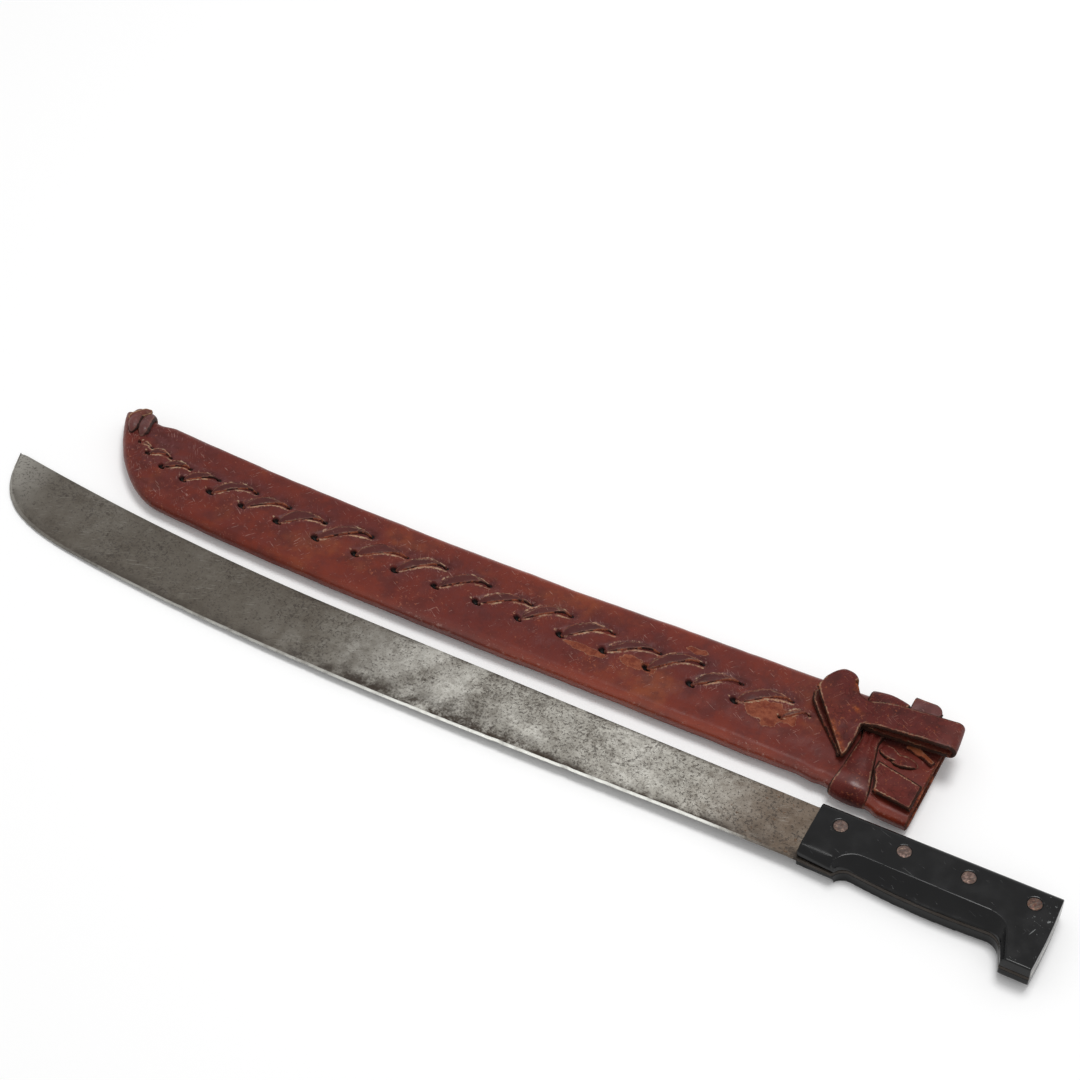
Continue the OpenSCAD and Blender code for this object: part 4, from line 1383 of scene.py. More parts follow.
@dataclass
class SheathPlan:
    """The plan and the heights of the sheath, which all its leather pieces share."""

    blade_l: float = 533.0
    belly_w: float = 43.3
    leather_t: float = 2.5
    strap_t: float = 2.4
    pocket_h: float = 6.0
    length_room: float = 1.5
    mouth_room: float = 25.5
    mouth_flare: float = 6.4
    tip_room: float = 15.1
    mouth_ahead: float = 43.5
    set_apart: float = 9.6
    flap_step: float = 1.2
    flap_lap: float = 18.0
    flap_slope: float = 12.0
    lay_gap: float = 0.1
    move_gap: float = 0.3
    keeper_w: float = 22.5
    keeper_neck: float = 11.0
    keeper_slack: float = 2.2
    keeper_lean: float = 4.0
    keeper_in: float = 34.5
    cinch: float = 1.3
    tip_cinch: float = 2.4
    binding_w: float = 5.6
    binding_step: float = 7.2
    binding_arm: float = 9.0
    binding_proud: float = 0.5
    stitch_pitch: float = 26.4
    stitches: int = 13
    tip_stitches: int = 6
    stitch_start: float = 85.9
    row_share: float = 0.41
    lace_w: float = 8.0
    lace_t: float = 1.6

    def __post_init__(self) -> None:
        """Works out the derived sizes."""
        self.fold_r = self.leather_t + self.pocket_h / 2
        self.mid_z = self.strap_t + self.lay_gap + self.fold_r
        self.top_z = self.mid_z + self.fold_r
        self.flap_z = self.top_z + self.flap_step
        self.lay_z = self.flap_z + self.lay_gap
        self.sheath_l = self.blade_l + self.length_room
        self.near_l = 0.886 * self.sheath_l
        self.far_l = 0.987 * self.sheath_l
        skin = self.belly_w + 2 * self.leather_t
        self.mouth_w = skin + self.mouth_room
        self.tip_w = skin + self.tip_room
        self.near_c = [self.mouth_flare, 8.2, -4.6, 3.5]
        self.far_c = [self.mouth_w, self.mouth_w - 8.2, skin + 3.1, self.tip_w]
        self.keeper_x = self.mouth_ahead - self.keeper_in
        self.tip_x0 = self.mouth_ahead - self.near_l
        self.binding_x = self.tip_x0 - 0.085 * self.sheath_l
        near_end = self.set_apart + self.near_c[3]
        self.tip_curve = [
            [self.tip_x0, near_end],
            [self.mouth_ahead - 0.943 * self.sheath_l, near_end + 0.6],
            [self.mouth_ahead - 0.99 * self.sheath_l, self.set_apart + 0.7 * self.tip_w],
            [self.mouth_ahead - self.sheath_l, self.set_apart + 0.95 * self.tip_w],
        ]
        self.low_slits = self.slits()
        self.gaps = np.concatenate([[self.stitch_pitch], -np.diff(self.low_slits[:, 0])])

    def near_y(self, x: Array) -> Array:
        """Finds the near edge of the sheath, drawn in by the keeper.

        Args:
            x: places along the sheath.

        Returns:
            y of the edge at each place.
        """
        middle = self.keeper_x - self.keeper_lean / 2
        half = (self.keeper_w + self.keeper_lean) / 2 + 0.5
        drawn = self.cinch * ease((half + 6 - np.abs(x - middle)) / 6)
        flared = self.mouth_flare * np.clip((x - self.mouth_ahead + 65.5) / 50, 0, 1)
        return self.set_apart + bezier(self.near_c, (self.mouth_ahead - x) / self.near_l) - flared + drawn

    def far_y(self, x: Array) -> Array:
        """Finds the far edge of the sheath, drawn in by the binding of the tip.

        Args:
            x: places along the sheath.

        Returns:
            y of the edge at each place.
        """
        front = self.binding_x + self.binding_step + self.binding_w / 2 + 1
        drawn = self.tip_cinch * ease((front + 10 - x) / 10)
        return self.set_apart + bezier(self.far_c, (self.mouth_ahead - x) / self.far_l) - drawn

    def near_at(self, x: float) -> float:
        """The near edge at one place along the sheath."""
        return float(self.near_y(np.array(x)))

    def far_at(self, x: float) -> float:
        """The far edge at one place along the sheath."""
        return float(self.far_y(np.array(x)))

    def row_y(self, x: Array) -> Array:
        """Finds the row of the lower slits.

        Args:
            x: places along the sheath.

        Returns:
            y of the row at each place.
        """
        near = self.near_y(x)
        curl = 0.0085 * np.maximum(self.tip_x0 - x, 0) ** 2
        return near + self.row_share * (self.far_y(x) - near) + curl

    def slits(self) -> Array:
        """Places the lower slit of each stitch.

        Returns:
            x and y of each slit, from the mouth to the tip.
        """
        xs = [self.mouth_ahead - self.stitch_start - i * self.stitch_pitch for i in range(self.stitches)]
        for k in range(1, self.tip_stitches + 1):
            xs.append(xs[-1] - self.stitch_pitch * (1 - 0.055 * k - 0.0085 * k * k))
        xs = np.array(xs)
        return np.c_[xs, self.row_y(xs)]

    def pairs(self, xs: Array, ts: Array) -> tuple[Array, Array]:
        """Near and far points of the stations.

        Args:
            xs: stations of the straight part, by x.
            ts: stations of the tip, by share of its curve.

        Returns:
            The near points and the far points.
        """
        fx = self.tip_x0 + (self.mouth_ahead - self.far_l - self.tip_x0) * ts
        near = np.vstack([np.c_[xs, self.near_y(xs)], bezier(self.tip_curve, ts)])
        far = np.vstack([np.c_[xs, self.far_y(xs)], np.c_[fx, self.far_y(fx)]])
        return near, far

    def wall(
        self, near: Array, far: Array, turn: Array, out: Array | float, grow: float = 0.0, lap: bool = True
    ) -> Array:
        """Points round the sheath.

        Args:
            near: the near point of each station.
            far: the far point of each station.
            turn: 0 to 1 round the far fold, 1 to 2 over the top to the near side, 2 to 3
                round the near fold, 3 to 4 back under the sheath.
            out: how far outside the skin the points lie.
            grow: how much further out they lie round the far fold.
            lap: whether the top steps up where the flaps lap.

        Returns:
            One point for each station and turn.
        """
        span = far - near
        w = np.linalg.norm(span, axis=-1)
        way = span / w[..., None]
        r = self.fold(w)
        q = turn
        far_angle = np.radians(-90 + 180 * q)
        near_angle = np.radians(90 + 180 * (q - 2))
        reach = r + out
        far_reach = reach + grow * np.sin(np.radians(180 * np.clip(q, 0, 1)))
        s_top = w - r + (2 * r - w) * (q - 1)
        s_far, s_near = w - r + far_reach * np.cos(far_angle), r + reach * np.cos(near_angle)
        stretches = [q < 1, q < 2, q < 3]
        s = np.select(stretches, [s_far, s_top, s_near], r + (w - 2 * r) * (q - 3))
        high = self.lap(s_top, w, r) if lap else 0.0
        heights = [far_reach * np.sin(far_angle), reach + high, reach * np.sin(near_angle)]
        z = np.select(stretches, heights, -reach)
        plan = near + way * s[..., None]
        return np.concatenate([plan, (self.mid_z + z)[..., None]], axis=-1)

    def fold(self, w: Array) -> Array:
        """Radius of the folds where the sheath is this wide."""
        return np.minimum(self.fold_r, 0.42 * w)

    def lap(self, s: Array, w: Array, r: Array) -> Array:
        """Rise of the top where the near flap laps over the far flap.

        Args:
            s: distance from the near edge.
            w: width of the sheath.
            r: radius of its folds.

        Returns:
            The rise in millimetres.
        """
        flat = w - 2 * r
        s1 = np.minimum(0.6 * w, w - r - 0.2 * flat)
        s2 = np.maximum(s1 - self.flap_lap, r + 0.3 * flat)
        s3 = np.maximum(s2 - self.flap_slope, r + 0.1 * flat)
        step = self.flap_step * np.minimum(1, flat / 20)
        return step * ease((s - s3) / (s2 - s3)) * ease((s1 + 5 - s) / 10)

    def top_at(self, plan: Array) -> Array:
        """Finds the height of the sheath's top.

        Args:
            plan: places in plan.

        Returns:
            The height at each place.
        """
        near, far = self.near_y(plan[:, 0]), self.far_y(plan[:, 0])
        w = far - near
        return self.top_z + self.lap(plan[:, 1] - near, w, self.fold(w))

    def gap(self, i: int) -> float:
        """Length of a stitch along the sheath, the first one being half as long."""
        return 0.5 * self.stitch_pitch if i == 0 else self.gaps[i]

    def about_stitch(self, i: int, shares: Sequence) -> Array:
        """Places beside a stitch.

        Args:
            i: number of the stitch from the mouth.
            shares: places ahead of and above its lower slit, in lengths of the stitch.

        Returns:
            The places in plan.
        """
        shares = np.asarray(shares, float)
        ahead = shares[:, 0] * (1 + 0.07 * math.sin(1.9 * i + 0.4))
        above = shares[:, 1] * (1 + 0.15 * math.sin(2.3 * i + 1))
        above = above + 0.05 * math.sin(3.1 * i) * shares[:, 0]
        x = self.low_slits[i, 0] + self.gap(i) * ahead
        return np.c_[x, self.row_y(x) + self.gap(i) * above]

    def by_mouth(self, back: float, share: float) -> Array:
        """A place near the mouth, by its distance from it and its share of the width."""
        x = self.mouth_ahead
        return np.array([x - back, self.near_at(x) + share * self.mouth_w])


@dataclass(frozen=True)
class StitchForm:
    """The form of one stitch and of the cut edge beside it.

    Places are ahead of and above the stitch's lower slit, in lengths of the stitch.
    """

    centre: tuple = (
        (0.0, -0.02), (0.065, 0.06), (0.19, 0.19), (0.33, 0.33),
        (0.49, 0.44), (0.63, 0.51), (0.78, 0.535), (0.97, 0.51),
    )
    widths: tuple = (0.09, 0.17, 0.235, 0.25, 0.22, 0.14, 0.075, 0.03)
    slit: tuple = ((-0.19, 0.03), (-0.1, -0.01), (0.03, -0.06))
    lip: tuple = (
        (0.0, -0.07), (0.12, -0.03), (0.24, 0.04), (0.42, 0.2),
        (0.55, 0.3), (0.67, 0.35), (0.86, 0.4), (1.03, 0.4),
    )
    far_line: tuple = ((0.02, 0.17), (0.1, 0.3), (0.25, 0.46), (0.47, 0.59), (0.71, 0.6), (0.93, 0.545))
    shaded_hole: tuple = (-0.03, -0.045)
    hole_way: tuple = (1.0, -0.45)


STITCH = StitchForm()


@dataclass
class LeatherPart:
    """A sub-assembly of the sheath, which keeps to the sheath's plan."""

    plan: SheathPlan

    def pieces(self, finishes: Finishes) -> list[tuple]:
        """For each of its pieces the shape, name, finish, CAD node and material slot."""
        raise NotImplementedError

    def build(self, layout: Layout, finishes: Finishes) -> None:
        """Makes and dresses its pieces.

        Args:
            layout: where the set lies.
            finishes: the finishes.
        """
        for shape, name, finish, node, slot in self.pieces(finishes):
            dress(shape.piece(name, layout.flat), finish, Body.SHEATH, [node], slot)


@dataclass
class Wrap(LeatherPart):
    """The folded hide of the sheath, with its laced seam, slits and pocket."""

    step: float = 0.6
    tip_rings: int = 120
    tip_stop: float = 0.975
    lip_out: float = 0.7
    droop: float = 1.2
    peels: tuple = (
        ((-50.0, 41.0), (17.0, 8.5)), ((-128.0, 37.0), (12.0, 4.0)),
        ((-160.0, 33.0), (14.0, 2.4)), ((-104.0, 62.0), (9.0, 3.0)),
    )

    def turns(self) -> Array:
        """Spaces the points of a ring round the sheath.

        Returns:
            Places round the sheath, close together where the seam runs.
        """
        fold = spaced((0, 1, 14))
        top = spaced((0, 0.1, 4), (0.1, 0.72, 90), (0.72, 1, 14))
        return np.concatenate([fold, 1 + top, 2 + fold, 3 + spaced((0, 1, 22))])

    def relief(self, points: Array) -> tuple[Array, dict[Mask, Array]]:
        """Heights and masks of the top of the sheath.

        Args:
            points: points of the top.

        Returns:
            How far each point moves up, and the masks.
        """
        plan = self.plan
        wobble = 0.3 * ripple(points, 4.0, 2.0) + 0.22 * ripple(points, 1.6, 6.0)
        moved = points + np.c_[0.6 * wobble, wobble, 0 * wobble]
        rise, lip, seam, pit = (np.zeros(len(points)) for _ in range(4))
        for i, low in enumerate(plan.low_slits):
            gap = plan.gap(i)
            size = min(1.0, 1.2 * gap / plan.stitch_pitch)
            near = np.abs(points[:, 0] - low[0] - 0.45 * gap) < 0.85 * gap + 4
            at = moved[near]
            to_lip = distance_to(at, plan.about_stitch(i, STITCH.lip))
            to_slit = distance_to(at, plan.about_stitch(i, STITCH.slit))
            to_top = distance_to(at, plan.about_stitch(i, STITCH.far_line))
            to_leaf = distance_to(at, plan.about_stitch(i, STITCH.centre))
            found = np.maximum(1 - to_lip / 3, np.maximum(0.94 - to_slit / 3, 0.86 - to_top / 3))
            lip[near] = np.maximum(lip[near], found)
            seam[near] = np.maximum(seam[near], bell(to_leaf, 6.5 * size))
            rise[near] += (0.3 * bell(to_lip, 0.8) - 0.3 * bell(to_slit, 0.5)) * size
            rise[near] -= 0.9 * size * np.exp(-((to_leaf / (3.2 * size)) ** 4))
            away = at[:, :2] - plan.about_stitch(i, [STITCH.shaded_hole])[0]
            way = unit(np.array(STITCH.hole_way))
            along, off = away @ way, away @ np.array([-way[1], way[0]])
            wedge = 1.75 - 0.22 * np.clip(along / size, -2.5, 3.5)
            shaded_hole = np.exp(-(((along / 3.1) ** 2 + (off / wedge) ** 2) / size**2) ** 3)
            away = at[:, :2] - plan.about_stitch(i, STITCH.centre[-1:])[0]
            end_hole = np.exp(-(((away / (1.9, 1.0 if i < 11 else 1.6)) ** 2).sum(-1) / size**2) ** 2)
            rise[near] -= 2.1 * shaded_hole + 0.8 * end_hole
            # The mask of the holes paints their shade near black.
            pit[near] = np.maximum(pit[near], np.maximum(shaded_hole, 0.8 * end_hole))
        lip = np.clip(lip, 0, 1) * (1 - ease(pit * 2))
        return rise, {Mask.LIP: lip, Mask.SEAM: seam, Mask.HOLE_SHADE: ease(pit * 2.2 - 0.4)}

    def shape(self) -> Shape:
        """Builds the hide: pocket, rim of the mouth, and outer skin.

        Returns:
            The hide with its masks.
        """
        plan = self.plan
        turns = self.turns()
        k = len(turns)
        body_x = np.arange(plan.mouth_ahead, plan.tip_x0, -self.step)
        tip_t = np.linspace(0, self.tip_stop, self.tip_rings)
        near, far = plan.pairs(body_x, tip_t)
        n = len(near)
        outer = plan.wall(near[:, None], far[:, None], np.tile(turns, (n, 1)), 0.0)
        masks = {mask: np.zeros((n, k)) for mask in (Mask.LIP, Mask.SEAM, Mask.HOLE_SHADE, Mask.WEAR_AND_SHEEN, Mask.PEEL)}
        top = (turns > 1) & (turns < 2)
        flat = outer[:, top].reshape(-1, 3)
        rise, found = self.relief(flat)
        fade = np.tile(ease(np.minimum(turns[top] - 1, 2 - turns[top]) / 0.06), n)
        ends = np.repeat(ease((np.arange(n)[::-1]) / 14), top.sum()) * fade
        outer[:, top, 2] += (rise * ends).reshape(n, -1)
        for mask, values in found.items():
            masks[mask][:, top] = (values * ends).reshape(n, -1)
        at_tip = 0.75 * ease((plan.binding_x + 75 - outer[..., 0]) / 60)
        masks[Mask.SEAM] = np.maximum(masks[Mask.SEAM], at_tip * ease((outer[..., 2] - plan.mid_z) / 4))
        # Fold tops are marked for wear and painted sheen, more towards the mouth.
        folds = bell(turns - 2.35, 0.25) + 0.8 * bell(turns - 0.7, 0.25)
        masks[Mask.WEAR_AND_SHEEN][:] = folds[None, :] * (0.3 + 0.7 * ease((near[:, :1] + 360) / 130))
        every = outer.reshape(-1, 3)
        bite = (0.9 * ripple(every, 7.5, 21.0) + 0.35 * ripple(every, 3.2, 23.0)).reshape(n, k)
        for at, size in self.peels:
            d = (outer[..., :2] - at) / size
            found = ease((1 - (d**2).sum(-1) + bite) / 0.35) * top[None, :]
            masks[Mask.PEEL][:] = np.maximum(masks[Mask.PEEL], found)
        outer[..., 2] -= 0.25 * masks[Mask.PEEL]
        self.settle(outer)
        rings, more = self.mouth(near, far, turns)
        points = np.concatenate([rings, outer]).reshape(-1, 3)
        extra = len(rings)
        out = {m: np.concatenate([np.zeros((extra, k)), v]).ravel() for m, v in masks.items()}
        out[Mask.RIM] = np.concatenate([more, np.zeros((n, k))]).ravel()
        out[Mask.UNDER] = np.concatenate([(more < 0.5).astype(float), np.zeros((n, k))]).ravel()
        rim_fade = np.exp(-np.arange(n) * self.step / 0.8)
        out[Mask.RIM][extra * k:] = np.repeat(rim_fade * 0.9, k)
        out[Mask.TORN] = 0.25 * out[Mask.RIM] * (1 - out[Mask.UNDER])
        faces = grid_faces(extra + n, k)
        return Shape(points, [f[::-1] for f in faces], out)

    def settle(self, outer: Array) -> None:
        """Lets the hide sag onto the table and gives it soft dents.

        Args:
            outer: rings of the outer skin, which are moved in place.
        """
        n, k = outer.shape[:2]
        x = outer[..., 0]
        from_keeper = np.abs(x - self.plan.keeper_x) - self.plan.keeper_w / 2
        from_binding = x - (self.plan.binding_x + self.plan.binding_step)
        free = ease(from_keeper / 60) * ease(from_binding / 45)
        low = ease((self.plan.mid_z + 2 - outer[..., 2]) / 7)
        outer[..., 2] -= self.droop * free * low
        flat = outer.reshape(-1, 3)
        soft = 0.4 * ripple(flat, 34.0, 8.0) + 0.16 * ripple(flat, 9.0, 14.0)
        push = soft.reshape(n, k) * ease((np.arange(n)[:, None] * self.step) / 14)
        around = np.roll(outer, -1, axis=1) - np.roll(outer, 1, axis=1)
        outward = unit(np.cross(around, -np.gradient(outer, axis=0)))
        outer += outward * push[..., None]
        outer[..., 2] = np.maximum(outer[..., 2], 0.15)

    def mouth(self, near: Array, far: Array, turns: Array) -> tuple[Array, Array]:
        """The pocket and the cut edge round the mouth.

        Args:
            near: near points of the stations.
            far: far points of the stations.
            turns: places round the sheath.

        Returns:
            Rings from the bottom of the pocket out to the mouth, and their rim mask.
        """
        deep = np.unique(np.concatenate([np.arange(0, len(near) - 40, 24), [1, 2, 4, 8]]))[::-1]
        rings, rims = [], []
        t = self.plan.leather_t

        def ring(i: int, inward: float, lap: bool) -> Array:
            """The skin's ring at a station, moved inward by a share of the leather."""
            ends = near[i][None, None], far[i][None, None]
            return self.plan.wall(*ends, turns[None], -t * inward, lap=lap)[0]

        for i in deep:
            rings.append(ring(i, 1.0, False))
            rims.append(np.full(len(turns), 0.0 if i > 2 else 0.9))
        for inward, ahead in ((0.85, 0.5), (0.5, 1.0), (0.15, 0.55)):
            lapped, plain = ring(0, inward, True), ring(0, inward, False)
            lip = plain + (lapped - plain) * (1 - inward)
            lip[:, 0] += self.lip_out * ahead
            rings.append(lip)
            rims.append(np.ones(len(turns)))
        return np.array(rings), np.array(rims)

    def pieces(self, finishes: Finishes) -> list[tuple]:
        """The hide."""
        return [(self.shape(), "folded_hide", finishes.hide, "sheath_wrap", "hide")]


@dataclass
class Lacing(LeatherPart):
    """The running whip stitch, one leaf of thong in each pair of slits."""

    stations: int = 34
    lifts: tuple = (
        (0.0, -2.6), (0.06, -1.4), (0.15, -0.5), (0.3, -0.2),
        (0.5, -0.1), (0.75, -0.2), (0.92, -0.5), (1.0, -1.2),
    )

    def leaf(self, i: int) -> Shape:
        """One stitch: it rises steeply from its lower slit, then bends over and tapers.

        Args:
            i: number of the stitch from the mouth.

        Returns:
            The stitch.
        """
        plan = self.plan
        gap = plan.gap(i)
        size = min(1.0, 1.2 * gap / plan.stitch_pitch)
        bends = plan.about_stitch(i, STITCH.centre)
        steps = np.r_[0, np.cumsum(np.linalg.norm(np.diff(bends, axis=0), axis=1))]
        t = np.linspace(0, 1, self.stations)
        gone = t * steps[-1]
        centre = np.c_[np.interp(gone, steps, bends[:, 0]), np.interp(gone, steps, bends[:, 1])]
        for _ in range(4):
            centre[1:-1] = (centre[:-2] + 2 * centre[1:-1] + centre[2:]) / 4
        stray = ripple(np.c_[centre, np.full(len(t), i * 9.0)], 9.0, 1.0)
        run = unit(np.gradient(centre, axis=0))
        side = np.c_[-run[:, 1], run[:, 0]]
        centre = centre + side * (0.5 * stray * np.sin(math.pi * t))[:, None]
        lift = np.interp(t, *zip(*self.lifts))
        z = plan.top_at(centre) + lift * (0.4 + 0.6 * size)
        widths = gap * np.interp(gone, steps, STITCH.widths)
        widths = widths * (1 + 0.2 * stray) * (1 + 0.1 * math.sin(2.7 * i))
        across = np.c_[side, 0.1 * np.sin(math.pi * t) * (1 - t)]
        thick = plan.lace_t * (0.6 + 0.4 * size)
        made = Ribbon(np.c_[centre, z], across, widths, thick, crown=0.3 * size)
        return made.shape(rippled(0.14, 3.0, 2.0 + i))

    def pieces(self, finishes: Finishes) -> list[tuple]:
        """All the stitches as one piece."""
        made = self.leaf(0)
        for i in range(1, len(self.plan.low_slits)):
            made = made.joined(self.leaf(i))
        return [(made, "seam_thong", finishes.thong, "seam_lacing", "thong")]


@dataclass
class TipWhipping(LeatherPart):
    """Two swollen turns of thong over the far corner of the tip, and their cut end."""

    back: float = 5.4
    lean: float = 8.0
    puff: float = 1.9
    broad: float = 1.38

    def turn(self, x: float, seed: float) -> Shape:
        """One turn of thong round the far fold, which swells where it ends on top.

        Args:
            x: place along the sheath.
            seed: varies its surface.

        Returns:
            The turn.
        """
        plan = self.plan
        middle_z = plan.mid_z + plan.flap_step / 2
        r = plan.fold_r + plan.lay_gap + (plan.flap_step + plan.strap_t) / 2
        fold_y = plan.far_at(x) - plan.fold_r + plan.binding_proud
        arm = plan.binding_arm
        angles = np.radians(np.linspace(-90, 90, 19))
        low = np.c_[np.linspace(-arm, -1, 6), np.full(6, -r)]
        fold = np.c_[r * np.cos(angles), r * np.sin(angles)]
        t = np.linspace(0, 1, 16)
        over = np.interp(t, [0, 0.3, 0.65, 0.88, 1], [0, 0.6, 0.5, -0.7, -2.6])
        path = np.vstack([low, fold, np.c_[-1 - (arm + 1.5) * t, r + over]])
        share = np.linspace(0, 1, len(path))
        leant = x + self.lean * np.maximum(share - 0.45, 0)
        centres = np.c_[leant, fold_y + path[:, 0], middle_z + path[:, 1]]
        swell = np.interp(share, [0, 0.3, 0.6, 0.8, 0.93, 1], [0.7, 0.8, 1.0, 1.08, 0.9, 0.5])
        widths = self.broad * plan.binding_w * swell
        made = Ribbon(centres, ALONG_X, widths, plan.strap_t, crown=self.puff)

        def lay(points: Array, share: Array) -> Array:
            """Gives the turn soft dents and keeps it on the table."""
            dent = (0.35 * ripple(points, 4.0, seed) + 0.5) * (points[:, 2] > plan.mid_z)
            return np.c_[points[:, :2], np.maximum(points[:, 2] + dent, 0.1)]

        return made.shape(lay)

    def end(self) -> Shape:
        """Builds the cut end of the thong, standing up along the far corner.

        Returns:
            The end.
        """
        plan = self.plan
        far = plan.far_at(plan.binding_x)
        t = np.linspace(0, 1, 20)
        x = plan.binding_x - 7.3 + 9.2 * t
        y = far - 8.7 + 10.2 * t + 0.8 * np.sin(3.1 * t)
        z = plan.top_z + plan.flap_step / 2 + 1.7 + 0.9 * np.sin(2.6 * t)
        across = np.c_[np.full(20, -0.75), np.full(20, 0.66), 0.75 - 0.35 * t]
        widths = np.interp(t, [0, 0.15, 0.8, 1], [3.4, 5.0, 4.6, 2.6])
        made = Ribbon(np.c_[x, y, z], across, widths, 0.8 * plan.strap_t, crown=0.3)
        return made.shape(rippled(0.3, 3.0, 5.0))

    def pieces(self, finishes: Finishes) -> list[tuple]:
        """The two turns as one piece, and their end."""
        x = self.plan.binding_x
        first = self.turn(x - self.back, 3.0)
        turns = first.joined(self.turn(x + self.plan.binding_step - 0.9 * self.back, 7.0))
        return [
            (turns, "tip_whipping", finishes.waxed, "tip_binding", "thong"),
            (self.end(), "whipping_end", finishes.cut_thong, "tip_knot", "raw_thong"),
        ]


@dataclass
class Keeper(LeatherPart):
    """The band round the mouth end, broad on the near side and drawn together on top."""

    puff: float = 1.5
    neck_y: float = 52.0

    def shape(self) -> Shape:
        """Builds the band.

        Returns:
            The band with its masks.
        """
        plan = self.plan
        turn = spaced((0, 1, 18), (1, 2, 44), (2, 3, 18), (3, 4, 36))
        spread = np.interp(turn, [0, 1, 1.12, 1.5, 1.8, 2.0, 2.3, 4], [1, 1, 0.75, 0, 0.45, 0.85, 1, 1])
        widths = plan.keeper_neck + (plan.keeper_w - plan.keeper_neck) * spread
        lean = np.interp(turn, [0, 1, 1.5, 2, 3, 4], [1, 1, 0.6, 0, 0, 1]) * plan.keeper_lean
        near, far = plan.pairs(plan.keeper_x - lean, np.array([]))
        centres = plan.wall(near, far, turn, plan.lay_gap + plan.strap_t / 2, plan.keeper_slack)
        band = Ribbon(centres, ALONG_X, widths, plan.strap_t, crown=self.puff, closed=True, flat_n=21)

        def pleat(points: Array, share: Array) -> Array:
            """Folds the band where it is drawn together on top.

            Args:
                points: points of the strap.
                share: their share across, from -1 to 1.

            Returns:
                The points as they lie.
            """
            top = ease((points[:, 2] - plan.top_z) / 1.5)
            near_neck = bell(points[:, 1] - self.neck_y, 10) * top
            fold = near_neck * 0.7 * np.sin(share * 9 + 0.15 * points[:, 1])
            lift = 0.5 * self.puff * top * (1 - share**2)
            rough = 0.18 * ripple(points, 7.0, 31.0)
            risen = points[:, 2] + np.where(top > 0, fold + lift + rough * top, 0)
            return np.c_[points[:, :2], np.maximum(risen, 0.1)]

        made = band.shape(pleat)
        # The near fold is marked for wear and painted sheen.
        fold = bell(made.points[:, 1] - plan.near_at(plan.keeper_x) - 6, 4)
        made.masks[Mask.WEAR_AND_SHEEN] = 0.8 * (fold * ease((made.points[:, 2] - plan.top_z + 4) / 3))
        return made

    def pieces(self, finishes: Finishes) -> list[tuple]:
        """The band."""
        return [(self.shape(), "keeper", finishes.strap, "keeper_band", "hide")]


